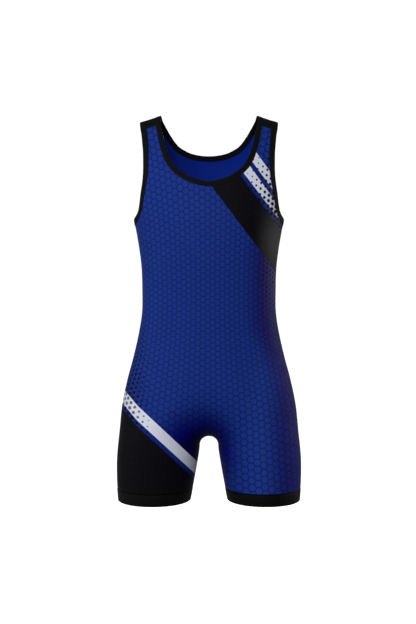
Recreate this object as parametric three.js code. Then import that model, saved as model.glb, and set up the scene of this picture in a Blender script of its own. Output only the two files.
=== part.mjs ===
// Wrestling singlet, filled out with no wearer, as it hangs from its two shoulder straps.
// Units are millimetres and +Z is up. The front of the garment faces -Y, and its left side is at +X.
// The origin lies midway between the two straps, level with their undersides at the shoulder ridge.
//
// How it is built: every piece is a wall of cloth laid on one worn surface. The surface is worked out
// from level rows of sizes below, closed at the sides, at the crotch and at the shoulder ridge. Each
// piece is a grid of points on that surface. The grid is given a thickness along the surface normal.
import * as THREE from 'three';

// Wall thicknesses: single knit for the panels, folded knit for bindings, bands and shoulder pieces.
const PANEL_WALL = 1.2;
const BINDING_WALL = 2.4;
const SHOULDER_WALL = 1.8;
const BAND_WALL = 2.2;

// Each piece is cut back by this much all round, so two pieces stand twice this apart at a seam.
const SEAM_RELIEF = 0.15;

// Edge finishes.
const NECK_BINDING_WIDTH = 11;
const ARM_BINDING_WIDTH = 13;
const LEG_BAND_TOP = -747;
const HEM = -769;

// Shoulder ridge: the line over the shoulder that a strap rests on, high at the neck side.
const RIDGE_X = 120;
const RIDGE_Z = SHOULDER_WALL / 2;
const RIDGE_SLOPE = 0.37;
const RIDGE_ROUNDING = 60;

// Crotch: a round arch between the legs, which then part by a steady slope, eased in below the arch.
const CROTCH_Z = -641.2;
const ARCH_RADIUS = 19.4;
const ARCH_SPREAD = 0.187;
const ARCH_EASE = 12;
const ARCH_CENTRE_Z = CROTCH_Z - ARCH_RADIUS;

// How high the two legs run into one trunk, above the crotch.
const LEG_BLEND_START = -10;
const LEG_BLEND_HEIGHT = 170;

// Roundness of a section: 2 is an ellipse, and more is squarer.
const TRUNK_ROUNDNESS = 2.3;
const LEG_ROUNDNESS = 2.05;

// Front and back: which way they face, how far the cloth takes to reach full depth.
const SIDES = {
  front: { facing: -1, shoulderDrop: 200, crotchRise: 105 },
  back: { facing: 1, shoulderDrop: 185, crotchRise: 118 },
};

// Level sections of the worn surface, from the shoulder down to below the hem.
// z: height; halfWidth: centre to side; front, back: depth from the side seam; seamY: side seam.
const SECTIONS = [
  { z: 40, halfWidth: 182, front: 70, back: 80, seamY: 0 },
  { z: 0, halfWidth: 180, front: 80, back: 86, seamY: 0 },
  { z: -45, halfWidth: 173, front: 86, back: 92, seamY: -2 },
  { z: -80, halfWidth: 164, front: 92, back: 98, seamY: -3 },
  { z: -125, halfWidth: 155, front: 99, back: 103, seamY: -5 },
  { z: -165, halfWidth: 152, front: 105, back: 106, seamY: -6 },
  { z: -204, halfWidth: 151, front: 109, back: 106, seamY: -8 },
  { z: -232, halfWidth: 146, front: 109, back: 104, seamY: -9 },
  { z: -261, halfWidth: 141, front: 108, back: 102, seamY: -10 },
  { z: -301, halfWidth: 136, front: 104, back: 97, seamY: -12 },
  { z: -346, halfWidth: 134.5, front: 100, back: 93, seamY: -12 },
  { z: -391, halfWidth: 135, front: 98, back: 94, seamY: -12 },
  { z: -431, halfWidth: 141, front: 97, back: 99, seamY: -12 },
  { z: -480, halfWidth: 152, front: 98, back: 108, seamY: -12 },
  { z: -529, halfWidth: 165, front: 100, back: 116, seamY: -12 },
  { z: -578, halfWidth: 175, front: 100, back: 117, seamY: -12 },
  { z: -626, halfWidth: 180, front: 98, back: 111, seamY: -12 },
  { z: -683, halfWidth: 185.5, front: 96, back: 101, seamY: -12 },
  { z: -730, halfWidth: 185.5, front: 93, back: 95, seamY: -12 },
  { z: -769, halfWidth: 183, front: 91, back: 92, seamY: -12 },
  { z: -800, halfWidth: 181, front: 90, back: 91, seamY: -12 },
];

// Neck opening, its free edge on one half, from the front centre over the strap to the back centre.
const NECK_EDGE = [
  { side: 'front', x: 0, z: -137.8 },
  { side: 'front', x: 18.4, z: -134.7 },
  { side: 'front', x: 34, z: -129 },
  { side: 'front', x: 48.5, z: -121 },
  { side: 'front', x: 63, z: -109 },
  { side: 'front', x: 75.2, z: -91.5 },
  { side: 'front', x: 85, z: -66.2 },
  { side: 'front', x: 92, z: -35 },
  { side: 'front', x: 96.6, z: -10 },
  { side: 'back', x: 96, z: 4.4 },
  { side: 'back', x: 90.9, z: -5.2 },
  { side: 'back', x: 84.8, z: -15.2 },
  { side: 'back', x: 78.8, z: -24.4 },
  { side: 'back', x: 71.4, z: -34.4 },
  { side: 'back', x: 62, z: -44 },
  { side: 'back', x: 48.6, z: -51.5 },
  { side: 'back', x: 36, z: -56.4 },
  { side: 'back', x: 18, z: -59.8 },
  { side: 'back', x: 0, z: -60.8 },
];

// Armhole, its free edge, from the side seam up the front over the strap and down the back.
const ARM_EDGE = [
  { side: 'front', x: 151, z: -204 },
  { side: 'front', x: 146.2, z: -200.5 },
  { side: 'front', x: 140.4, z: -192 },
  { side: 'front', x: 137.6, z: -178 },
  { side: 'front', x: 135.6, z: -160 },
  { side: 'front', x: 132.6, z: -140 },
  { side: 'front', x: 130.6, z: -119 },
  { side: 'front', x: 130.6, z: -94 },
  { side: 'front', x: 132, z: -66 },
  { side: 'front', x: 135, z: -40 },
  { side: 'front', x: 139, z: -18 },
  { side: 'back', x: 140, z: -14 },
  { side: 'back', x: 136, z: -36 },
  { side: 'back', x: 131.4, z: -64 },
  { side: 'back', x: 128.6, z: -94 },
  { side: 'back', x: 128.4, z: -122 },
  { side: 'back', x: 131, z: -150 },
  { side: 'back', x: 136, z: -176 },
  { side: 'back', x: 141, z: -193 },
  { side: 'back', x: 146.6, z: -201 },
  { side: 'back', x: 151, z: -204 },
];

// Where each panel changes from full rows to a strap, and where the shoulder piece begins.
// cornerX: the neck edge at the foot of the strap; armZ: the armhole edge level with it;
// seamX: the neck edge at the shoulder piece's seam; seamArmZ: the armhole edge at that seam.
const STRAPS = {
  front: { cornerX: 80, armZ: -122, seamX: 106.6, seamArmZ: -22 },
  back: { cornerX: 72, armZ: -106, seamX: 101, seamArmZ: -22 },
};

// How finely the grids are divided.
const COLUMNS = 12;
const NECK_COLUMNS = 8;
const LEG_ROWS = 4;
const ARCH_ROWS = 3;
const TRUNK_ROWS = 28;
const CHEST_ROWS = 9;
const STRAP_ROWS = 7;
const SHOULDER_ROWS = 8;
const CHEST_FOOT_Z = -256;
// A row stays level from the centre and climbs to its end on the side seam by this power.
const ROW_LIFT = 3;
const PATH_STEPS = 240;

// Chart of the upper body: how far below the ridge the turning angle reaches a quarter turn.
const CHART_DROP = 290;

const COLOURS = {
  knit: { color: 0x1a2f79, roughness: 0.62, metalness: 0 },
  black: { color: 0x0d0d10, roughness: 0.66, metalness: 0 },
};

// Small helpers.
const QUARTER = Math.PI / 2;
const clamp01 = (t) => Math.min(1, Math.max(0, t));
const easeInOut = (t) => clamp01(t) ** 2 * (3 - 2 * clamp01(t));
const mix = (a, b, t) => a + (b - a) * t;
const snap = (value, target) => (Math.abs(value - target) < 1e-6 ? target : value);
const closing = (t, roundness) => (1 - (1 - clamp01(t)) ** roundness) ** (1 / roundness);
const minus = (p, q) => [p[0] - q[0], p[1] - q[1], p[2] - q[2]];
const plusTimes = (p, q, k) => [p[0] + q[0] * k, p[1] + q[1] * k, p[2] + q[2] * k];
const dot = (p, q) => p[0] * q[0] + p[1] * q[1] + p[2] * q[2];
const length = (p) => Math.sqrt(dot(p, p));
const unit = (p) => plusTimes([0, 0, 0], p, 1 / (length(p) || 1));

function cross(p, q) {
  return [p[1] * q[2] - p[2] * q[1], p[2] * q[0] - p[0] * q[2], p[0] * q[1] - p[1] * q[0]];
}

// A smooth curve through rows of numbers, keyed by one column.
function smoothTable(rows, key) {
  const sorted = [...rows].sort((a, b) => a[key] - b[key]);
  const keys = sorted.map((row) => row[key]);
  const last = sorted.length - 1;
  const slopeAt = (i, column) => {
    const low = Math.max(0, i - 1);
    const high = Math.min(last, i + 1);
    return (sorted[high][column] - sorted[low][column]) / (keys[high] - keys[low]);
  };
  return (value, column) => {
    const v = Math.min(keys[last], Math.max(keys[0], value));
    let i = 0;
    while (i < last - 1 && keys[i + 1] < v) i += 1;
    const span = keys[i + 1] - keys[i];
    const t = (v - keys[i]) / span;
    const a = sorted[i][column];
    const b = sorted[i + 1][column];
    const slopeA = slopeAt(i, column) * span;
    const slopeB = slopeAt(i + 1, column) * span;
    const u = 1 - t;
    return a * u * u * (1 + 2 * t) + slopeA * u * u * t + b * t * t * (3 - 2 * t) - slopeB * t * t * u;
  };
}

const section = smoothTable(SECTIONS, 'z');

function ridgeZ(x) {
  return RIDGE_Z - RIDGE_SLOPE * (Math.hypot(x, RIDGE_ROUNDING) - Math.hypot(RIDGE_X, RIDGE_ROUNDING));
}

function archHalfWidth(z) {
  const drop = Math.max(0, ARCH_CENTRE_Z - z);
  return ARCH_RADIUS + (ARCH_SPREAD * drop * drop) / (drop + ARCH_EASE);
}

// Depth of the cloth from the side seam at a place seen from the front.
function depthAt(x, z, side) {
  const { shoulderDrop, crotchRise } = SIDES[side];
  const halfWidth = section(z, 'halfWidth');
  const legHalf = (halfWidth - archHalfWidth(z)) / 2;
  const aboveArch = Math.max(0, z - ARCH_CENTRE_Z);
  const fromArch = Math.hypot(x, aboveArch);
  const upright = (aboveArch / fromArch) ** 2;
  const innerReach = legHalf + (crotchRise - legHalf) * upright;
  const inner = closing((fromArch - archHalfWidth(z)) / innerReach, LEG_ROUNDNESS);
  const trunk = easeInOut((z - CROTCH_Z - LEG_BLEND_START) / LEG_BLEND_HEIGHT);
  const sideReach = mix(legHalf, halfWidth, trunk);
  const outer = closing((halfWidth - x) / sideReach, mix(LEG_ROUNDNESS, TRUNK_ROUNDNESS, trunk));
  const top = closing((ridgeZ(x) - z) / shoulderDrop, 2);
  return section(z, side) * inner * outer * top;
}

// A place on the worn surface, with its outward normal. On a seam the normal is level across it.
function surfacePoint({ x, z, side, onSeam = false }) {
  const { facing } = SIDES[side];
  const step = 0.01;
  const slopeX = (depthAt(x + step, z, side) - depthAt(Math.abs(x - step), z, side)) / (2 * step);
  const slopeZ = (depthAt(x, z + step, side) - depthAt(x, z - step, side)) / (2 * step);
  const seamSlope = (section(z + step, 'seamY') - section(z - step, 'seamY')) / (2 * step);
  const normal = unit([-slopeX, facing, -slopeZ - facing * seamSlope]);
  if (x === 0) normal[0] = 0;
  if (onSeam) normal[1] = 0;
  const y = section(z, 'seamY') + (onSeam ? 0 : facing * depthAt(x, z, side));
  return { p: [x, y, z], n: unit(normal) };
}

// The chart: turn runs from the centre to the side, tilt from the ridge down, below zero on the back.
function chartPlace({ turn, tilt }) {
  const side = tilt < 0 ? 'back' : 'front';
  let z = -80;
  let x = 0;
  for (let i = 0; i < 30; i += 1) {
    x = section(z, 'halfWidth') * Math.sin(turn);
    z = ridgeZ(x) - CHART_DROP * (1 - Math.cos(tilt));
  }
  return { x: Math.max(0, x), z, side };
}

function toChart({ x, z, side }) {
  const turn = Math.asin(clamp01(x / section(z, 'halfWidth')));
  const tilt = Math.acos(1 - Math.max(0, ridgeZ(x) - z) / CHART_DROP);
  return { turn, tilt: side === 'back' ? -tilt : tilt };
}

function chartPoint(chart) {
  const place = chartPlace(chart);
  return surfacePoint({ ...place, onSeam: Math.abs(chart.turn - QUARTER) < 1e-9 });
}

// An edge line on the chart, smooth through its table. Each end is mirrored in its own centre line.
function edgeCurve(rows, endTurn) {
  const charts = rows.map(toChart);
  const first = charts[0];
  const last = charts[charts.length - 1];
  first.turn = endTurn;
  last.turn = endTurn;
  const mirrored = (chart) => ({ turn: 2 * endTurn - chart.turn, tilt: chart.tilt });
  const knots = [mirrored(charts[1]), ...charts, mirrored(charts[charts.length - 2])];
  const places = charts.map((chart) => chartPoint(chart).p);
  const travelled = [0];
  for (let i = 1; i < places.length; i += 1) {
    travelled.push(travelled[i - 1] + length(minus(places[i], places[i - 1])));
  }
  const total = travelled[travelled.length - 1];
  const at = [-travelled[1], ...travelled, 2 * total - travelled[travelled.length - 2]];
  const rowsByLength = knots.map((knot, i) => ({ s: at[i], turn: knot.turn, tilt: knot.tilt }));
  const table = smoothTable(rowsByLength, 's');
  return {
    total,
    at: (s) => ({ turn: snap(table(s, 'turn'), endTurn), tilt: table(s, 'tilt') }),
  };
}

// A chart place moved over the surface by a distance in a given direction.
function walk(chart, direction, distance) {
  const step = 0.002;
  const here = chartPoint(chart);
  const backTurn = Math.max(0, chart.turn - step);
  const backTilt = chart.tilt - step;
  const byTurn = minus(here.p, chartPoint({ turn: backTurn, tilt: chart.tilt }).p);
  const byTilt = minus(here.p, chartPoint({ turn: chart.turn, tilt: backTilt }).p);
  const turnStep = chart.turn - backTurn;
  const target = plusTimes([0, 0, 0], direction, distance);
  if (turnStep === 0) {
    return { turn: chart.turn, tilt: chart.tilt + (step * dot(byTilt, target)) / dot(byTilt, byTilt) };
  }
  const aa = dot(byTurn, byTurn);
  const ab = dot(byTurn, byTilt);
  const bb = dot(byTilt, byTilt);
  const ta = dot(byTurn, target);
  const tb = dot(byTilt, target);
  const scale = aa * bb - ab * ab;
  return {
    turn: chart.turn + (turnStep * (ta * bb - tb * ab)) / scale,
    tilt: chart.tilt + (step * (tb * aa - ta * ab)) / scale,
  };
}

// A line beside an edge, on the surface and a set width in from it.
function insideEdge(edge, width, endTurn, inward) {
  const endAlong = endTurn === 0 ? [1, 0, 0] : [0, 1, 0];
  const steps = 4;
  const rows = [];
  const count = 44;
  for (let i = 0; i <= count; i += 1) {
    const s = (edge.total * i) / count;
    let chart = edge.at(s);
    const before = chartPoint(edge.at(s - 1)).p;
    const after = chartPoint(edge.at(s + 1)).p;
    const atEnd = i === 0 || i === count;
    const along = atEnd ? endAlong : unit(minus(after, before));
    for (let k = 0; k < steps; k += 1) {
      const across = unit(cross(chartPoint(chart).n, along));
      const sign = atEnd ? -Math.sign(across[2]) : inward;
      chart = walk(chart, across, (sign * width) / steps);
    }
    if (atEnd) chart.turn = endTurn;
    rows.push({ s, ...chart });
  }
  const table = smoothTable(rows, 's');
  return {
    total: edge.total,
    at: (s) => ({ turn: snap(Math.min(QUARTER, table(s, 'turn')), endTurn), tilt: table(s, 'tilt') }),
  };
}

const neckFree = edgeCurve(NECK_EDGE, 0);
const armFree = edgeCurve(ARM_EDGE, QUARTER);
const neckSeam = insideEdge(neckFree, NECK_BINDING_WIDTH, 0, -1);
const armSeam = insideEdge(armFree, ARM_BINDING_WIDTH, QUARTER, 1);

// The length along an edge where a measure of the place there first passes a value.
function findAlong(curve, from, to, measure) {
  let low = from;
  let high = to;
  for (let i = 0; i < 50; i += 1) {
    const middle = (low + high) / 2;
    if (measure(chartPlace(curve.at(middle))) < 0) low = middle;
    else high = middle;
  }
  return (low + high) / 2;
}

function ridgeLength(curve) {
  let low = 0;
  let high = curve.total;
  const sign = Math.sign(curve.at(0).tilt);
  for (let i = 0; i < 50; i += 1) {
    const middle = (low + high) / 2;
    if (Math.sign(curve.at(middle).tilt) === sign) low = middle;
    else high = middle;
  }
  return (low + high) / 2;
}

const neckRidge = ridgeLength(neckSeam);
const armRidge = ridgeLength(armSeam);

// Lengths along the neck and armhole seams at which the grids start, turn and end, for one side.
function stationsFor(side) {
  const { cornerX, armZ, seamX, seamArmZ } = STRAPS[side];
  const front = side === 'front';
  const neckStart = front ? 0 : neckSeam.total;
  const armStart = front ? 0 : armSeam.total;
  return {
    neckStart,
    armStart,
    neckCorner: findAlong(neckSeam, neckStart, neckRidge, (place) => place.x - cornerX),
    neckTop: findAlong(neckSeam, neckStart, neckRidge, (place) => place.x - seamX),
    armCorner: findAlong(armSeam, armStart, armRidge, (place) => place.z - armZ),
    armTop: findAlong(armSeam, armStart, armRidge, (place) => place.z - seamArmZ),
  };
}

const STATIONS = { front: stationsFor('front'), back: stationsFor('back') };

const evenly = (from, to, count) => Array.from({ length: count + 1 }, (_, i) => mix(from, to, i / count));

// Lengths of the neck seam at the panel's neck nodes, then up the strap, for one side.
function neckStations(side) {
  const { neckStart, neckCorner, neckTop } = STATIONS[side];
  const arc = evenly(neckStart, neckCorner, NECK_COLUMNS);
  return [...arc, ...evenly(neckCorner, neckTop, STRAP_ROWS).slice(1)];
}

function armStations(side) {
  const { armStart, armCorner, armTop } = STATIONS[side];
  const low = evenly(armStart, armCorner, CHEST_ROWS);
  return [...low, ...evenly(armCorner, armTop, STRAP_ROWS).slice(1)];
}

// One level row of the lower body, spaced evenly along the cloth from the inside to the side seam.
function levelRow({ innerX, innerZ, outerZ }, side) {
  const path = [];
  for (let i = 0; i <= PATH_STEPS; i += 1) {
    const t = (1 - Math.cos((Math.PI * i) / PATH_STEPS)) / 2;
    const z = mix(innerZ, outerZ, (Math.asin(clamp01(t)) / QUARTER) ** ROW_LIFT);
    const x = mix(innerX, section(z, 'halfWidth'), t);
    path.push({ x, z });
  }
  const places = path.map(({ x, z }) => {
    const depth = depthAt(x, z, side);
    return [x, section(z, 'seamY') + SIDES[side].facing * depth, z];
  });
  const travelled = [0];
  for (let i = 1; i <= PATH_STEPS; i += 1) {
    travelled.push(travelled[i - 1] + length(minus(places[i], places[i - 1])));
  }
  const row = [];
  let at = 0;
  for (let column = 0; column <= COLUMNS; column += 1) {
    const wanted = (travelled[PATH_STEPS] * column) / COLUMNS;
    while (at < PATH_STEPS - 1 && travelled[at + 1] < wanted) at += 1;
    const t = clamp01((wanted - travelled[at]) / (travelled[at + 1] - travelled[at]));
    const x = mix(path[at].x, path[at + 1].x, t);
    const z = mix(path[at].z, path[at + 1].z, t);
    const onOuterSeam = column === COLUMNS;
    const onInnerSeam = column === 0 && innerZ <= CROTCH_Z;
    row.push({ x, z, side, onSeam: onOuterSeam || onInnerSeam });
  }
  return row;
}

function legRow(z, side) {
  return levelRow({ innerX: archHalfWidth(z), innerZ: z, outerZ: z }, side);
}

// Heights up the centre line from the crotch to the foot of the chest, evenly along the cloth.
function centreHeights(side) {
  const fine = 900;
  const heights = [];
  const travelled = [0];
  for (let i = 0; i <= fine; i += 1) {
    heights.push(mix(CROTCH_Z, CHEST_FOOT_Z, (i / fine) ** 2));
  }
  for (let i = 1; i <= fine; i += 1) {
    const rise = heights[i] - heights[i - 1];
    const deeper = depthAt(0, heights[i], side) - depthAt(0, heights[i - 1], side);
    travelled.push(travelled[i - 1] + Math.hypot(rise, deeper));
  }
  const wanted = evenly(0, travelled[fine], TRUNK_ROWS);
  return wanted.map((s) => {
    let i = 0;
    while (i < fine - 1 && travelled[i + 1] < s) i += 1;
    const t = clamp01((s - travelled[i]) / (travelled[i + 1] - travelled[i]));
    return mix(heights[i], heights[i + 1], t);
  });
}

// All the rows of one half panel up to the foot of the chest.
function lowerRows(side) {
  const legHeights = evenly(LEG_BAND_TOP, ARCH_CENTRE_Z, LEG_ROWS);
  const rows = legHeights.map((z) => legRow(z, side));
  const armFootZ = chartPlace(armSeam.at(STATIONS[side].armStart)).z;
  const sideHeights = evenly(ARCH_CENTRE_Z, armFootZ, ARCH_ROWS + TRUNK_ROWS);
  for (let i = 1; i <= ARCH_ROWS; i += 1) {
    const angle = (QUARTER * i) / ARCH_ROWS;
    const innerX = i === ARCH_ROWS ? 0 : ARCH_RADIUS * Math.cos(angle);
    const innerZ = i === ARCH_ROWS ? CROTCH_Z : ARCH_CENTRE_Z + ARCH_RADIUS * Math.sin(angle);
    rows.push(levelRow({ innerX, innerZ, outerZ: sideHeights[i] }, side));
  }
  centreHeights(side).slice(1).forEach((innerZ, i) => {
    rows.push(levelRow({ innerX: 0, innerZ, outerZ: sideHeights[ARCH_ROWS + 1 + i] }, side));
  });
  return rows;
}

// The rows from the foot of the chest to the neck: edges blended inwards over the chart.
function chestRows(side, footRow) {
  const { neckStart, neckCorner, armCorner } = STATIONS[side];
  const foot = footRow.map(toChart);
  foot[COLUMNS].turn = QUARTER;
  const neckEnd = evenly(neckStart, neckCorner, NECK_COLUMNS).map((s) => neckSeam.at(s));
  const corner = neckEnd[NECK_COLUMNS];
  const arm = armSeam.at(armCorner);
  const strapColumns = COLUMNS - NECK_COLUMNS;
  const top = foot.map((_, column) => {
    if (column <= NECK_COLUMNS) return neckEnd[column];
    const t = (column - NECK_COLUMNS) / strapColumns;
    return { turn: mix(corner.turn, arm.turn, t), tilt: mix(corner.tilt, arm.tilt, t) };
  });
  const armEdge = armStations(side).slice(0, CHEST_ROWS + 1).map((s) => armSeam.at(s));
  const rows = [];
  for (let row = 1; row <= CHEST_ROWS; row += 1) {
    const w = row / CHEST_ROWS;
    const straightTurn = mix(foot[COLUMNS].turn, top[COLUMNS].turn, w);
    const straightTilt = mix(foot[COLUMNS].tilt, top[COLUMNS].tilt, w);
    const charts = foot.map((low, column) => {
      const share = column / COLUMNS;
      const turn = mix(low.turn, top[column].turn, w) + share * (armEdge[row].turn - straightTurn);
      const tilt = mix(low.tilt, top[column].tilt, w) + share * (armEdge[row].tilt - straightTilt);
      return { turn, tilt };
    });
    rows.push(charts);
  }
  return rows;
}

// A grid of chart places ruled between stations on the neck seam and stations on the armhole seam.
function ruledRows(neckLengths, armLengths) {
  const strapColumns = COLUMNS - NECK_COLUMNS;
  return neckLengths.map((s, row) => {
    const inner = neckSeam.at(s);
    const outer = armSeam.at(armLengths[row]);
    return evenly(0, 1, strapColumns).map((t) => ({
      turn: mix(inner.turn, outer.turn, t),
      tilt: mix(inner.tilt, outer.tilt, t),
    }));
  });
}

// Gathers nodes and four-sided faces, then turns them into one closed wall of cloth.
class Cloth {
  constructor() {
    this.nodes = [];
    this.faces = [];
  }

  add(node) {
    this.nodes.push(node);
    return this.nodes.length - 1;
  }

  addGrid(rows) {
    const ids = rows.map((row) => row.map((node) => this.add(node)));
    this.join(ids);
    return ids;
  }

  join(ids) {
    for (let i = 1; i < ids.length; i += 1) {
      const columns = Math.min(ids[i].length, ids[i - 1].length);
      for (let j = 1; j < columns; j += 1) {
        this.faces.push([ids[i - 1][j - 1], ids[i - 1][j], ids[i][j], ids[i][j - 1]]);
      }
    }
  }

  // Turns every face so that it is anticlockwise seen from outside.
  orient() {
    this.faces = this.faces.map((face) => {
      const [a, b, c, d] = face.map((id) => this.nodes[id]);
      const across = cross(minus(c.p, a.p), minus(d.p, b.p));
      const outward = plusTimes(plusTimes(a.n, c.n, 1), b.n, 1);
      return dot(across, outward) < 0 ? [face[0], face[3], face[2], face[1]] : face;
    });
  }

  // The other half, as seen in a mirror on the centre line. Nodes on the line are shared.
  mirror() {
    const ids = this.nodes.map((node, id) => {
      if (node.p[0] === 0) return id;
      const p = [-node.p[0], node.p[1], node.p[2]];
      const n = [-node.n[0], node.n[1], node.n[2]];
      return { p, n };
    });
    const mirrored = ids.map((entry) => (typeof entry === 'number' ? entry : this.add(entry)));
    const half = this.faces;
    this.faces = half.concat(half.map((face) => face.map((id) => mirrored[id])));
  }

  boundary() {
    const seen = new Set();
    this.faces.forEach((face) => face.forEach((a, i) => seen.add(`${a}_${face[(i + 1) % 4]}`)));
    const edges = [];
    this.faces.forEach((face) => {
      face.forEach((a, i) => {
        const b = face[(i + 1) % 4];
        if (!seen.has(`${b}_${a}`)) edges.push([a, b]);
      });
    });
    return edges;
  }

  // Cuts the cloth back at its edges, so that it clears its neighbours.
  relieve(amount) {
    const outward = new Map();
    this.boundary().forEach(([a, b]) => {
      const along = unit(minus(this.nodes[b].p, this.nodes[a].p));
      [a, b].forEach((id) => {
        const away = unit(cross(along, this.nodes[id].n));
        outward.set(id, [...(outward.get(id) || []), away]);
      });
    });
    outward.forEach((list, id) => {
      const sum = list.reduce((total, away) => plusTimes(total, away, 1), [0, 0, 0]);
      const direction = unit(sum);
      const reach = amount / Math.max(0.5, dot(direction, list[0]));
      this.nodes[id].p = plusTimes(this.nodes[id].p, direction, -reach);
    });
  }

  // Outer and inner faces, closed along every edge.
  geometry(thickness) {
    this.orient();
    this.relieve(SEAM_RELIEF);
    const count = this.nodes.length;
    const outer = this.nodes.map(({ p, n }) => plusTimes(p, n, thickness / 2));
    const inner = this.nodes.map(({ p, n }) => plusTimes(p, n, -thickness / 2));
    const points = outer.concat(inner);
    const triangles = [];
    this.faces.forEach(([a, b, c, d]) => {
      const shortAC = length(minus(points[a], points[c])) <= length(minus(points[b], points[d]));
      const pair = shortAC ? [[a, b, c], [a, c, d]] : [[a, b, d], [b, c, d]];
      pair.forEach(([i, j, k]) => {
        triangles.push([i, j, k], [i + count, k + count, j + count]);
      });
    });
    this.boundary().forEach(([a, b]) => {
      triangles.push([a, a + count, b], [b, a + count, b + count]);
    });
    const geometry = new THREE.BufferGeometry();
    geometry.setAttribute('position', new THREE.Float32BufferAttribute(points.flat(), 3));
    geometry.setIndex(triangles.flat());
    geometry.computeVertexNormals();
    return geometry;
  }
}

function makeMesh(name, cloth, thickness, look) {
  const material = new THREE.MeshStandardMaterial({ ...look, name });
  const mesh = new THREE.Mesh(cloth.geometry(thickness), material);
  mesh.name = name;
  return mesh;
}

// Front or back panel: legs, trunk, chest and the two straps up to the shoulder pieces.
function buildPanel(side) {
  const cloth = new Cloth();
  const lower = lowerRows(side);
  const ids = cloth.addGrid(lower.map((row) => row.map(surfacePoint)));
  const chest = chestRows(side, lower[lower.length - 1]);
  const chestIds = chest.map((row) => row.map((chart) => cloth.add(chartPoint(chart))));
  cloth.join([ids[ids.length - 1], ...chestIds]);
  const neckUp = neckStations(side).slice(NECK_COLUMNS + 1);
  const armUp = armStations(side).slice(CHEST_ROWS + 1);
  const strapIds = ruledRows(neckUp, armUp).map((row) => row.map((chart) => cloth.add(chartPoint(chart))));
  cloth.join([chestIds[CHEST_ROWS - 1].slice(NECK_COLUMNS), ...strapIds]);
  cloth.orient();
  cloth.mirror();
  return cloth;
}

const shoulderNeckStations = evenly(STATIONS.front.neckTop, STATIONS.back.neckTop, SHOULDER_ROWS);
const shoulderArmStations = evenly(STATIONS.front.armTop, STATIONS.back.armTop, SHOULDER_ROWS);

// Moves a finished half over to the other side when the piece belongs there.
function onSide(cloth, sign) {
  if (sign > 0) return cloth;
  cloth.nodes = cloth.nodes.map(({ p, n }) => ({ p: [-p[0], p[1], p[2]], n: [-n[0], n[1], n[2]] }));
  return cloth;
}

function buildShoulderPiece(sign) {
  const cloth = new Cloth();
  const rows = ruledRows(shoulderNeckStations, shoulderArmStations);
  cloth.addGrid(rows.map((row) => row.map(chartPoint)));
  return onSide(cloth, sign);
}

// All the lengths round a seam from its front start to its back start, at the nodes of its neighbours.
function roundStations(stationsOf, overShoulder) {
  const front = stationsOf('front');
  const back = stationsOf('back').reverse();
  return [...front, ...overShoulder.slice(1, -1), ...back];
}

// Binding: a strip from the panel's edge to the free edge, right round the opening.
function buildNeckBinding() {
  const cloth = new Cloth();
  const lengths = roundStations(neckStations, shoulderNeckStations);
  cloth.addGrid([neckSeam, neckFree].map((curve) => lengths.map((s) => chartPoint(curve.at(s)))));
  cloth.orient();
  cloth.mirror();
  return cloth;
}

function buildArmBinding(sign) {
  const cloth = new Cloth();
  const lengths = roundStations(armStations, shoulderArmStations);
  const rows = [armSeam, armFree].map((curve) => {
    const ids = lengths.map((s) => cloth.add(chartPoint(curve.at(s))));
    ids[ids.length - 1] = ids[0];
    return ids;
  });
  cloth.join(rows);
  return onSide(cloth, sign);
}

// Leg band: a level tube under the two panels of one leg.
function buildLegBand(sign) {
  const cloth = new Cloth();
  const rows = [LEG_BAND_TOP, HEM].map((z) => {
    const front = legRow(z, 'front').map((place) => cloth.add(surfacePoint(place)));
    const back = legRow(z, 'back').slice(1, -1).map((place) => cloth.add(surfacePoint(place)));
    return [...front, ...back.reverse(), front[0]];
  });
  cloth.join(rows);
  return onSide(cloth, sign);
}

// Drops nodes that no face uses, so that every point belongs to the wall.
function tidied(cloth) {
  const used = new Map();
  cloth.faces.flat().forEach((id) => {
    if (!used.has(id)) used.set(id, used.size);
  });
  const kept = new Cloth();
  used.forEach((_, id) => kept.add(cloth.nodes[id]));
  kept.faces = cloth.faces.map((face) => face.map((id) => used.get(id)));
  return kept;
}

const PIECES = [
  { name: 'front_panel', cloth: buildPanel('front'), wall: PANEL_WALL, look: COLOURS.knit },
  { name: 'back_panel', cloth: buildPanel('back'), wall: PANEL_WALL, look: COLOURS.knit },
  { name: 'shoulder_piece_left', cloth: buildShoulderPiece(1), wall: SHOULDER_WALL, look: COLOURS.black },
  { name: 'shoulder_piece_right', cloth: buildShoulderPiece(-1), wall: SHOULDER_WALL, look: COLOURS.black },
  { name: 'neck_binding', cloth: buildNeckBinding(), wall: BINDING_WALL, look: COLOURS.black },
  { name: 'armhole_binding_left', cloth: buildArmBinding(1), wall: BINDING_WALL, look: COLOURS.black },
  { name: 'armhole_binding_right', cloth: buildArmBinding(-1), wall: BINDING_WALL, look: COLOURS.black },
  { name: 'leg_band_left', cloth: buildLegBand(1), wall: BAND_WALL, look: COLOURS.black },
  { name: 'leg_band_right', cloth: buildLegBand(-1), wall: BAND_WALL, look: COLOURS.black },
];

const part = new THREE.Group();
part.name = 'wrestling_singlet';
PIECES.forEach(({ name, cloth, wall, look }) => part.add(makeMesh(name, tidied(cloth), wall, look)));

export default part;
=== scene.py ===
# %% [markdown]
# # A wrestling singlet, filled out with no wearer
# The object is a one-piece garment of stretch knit: a printed front and back panel, black shoulder
# pieces, black folded bindings round the neck and armholes, and a black band round each leg. This
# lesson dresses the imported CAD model: it loads the solids as a fixed frame, and builds the cloth, the
# seams and the print over them, in metres and in the same place.

import math

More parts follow.
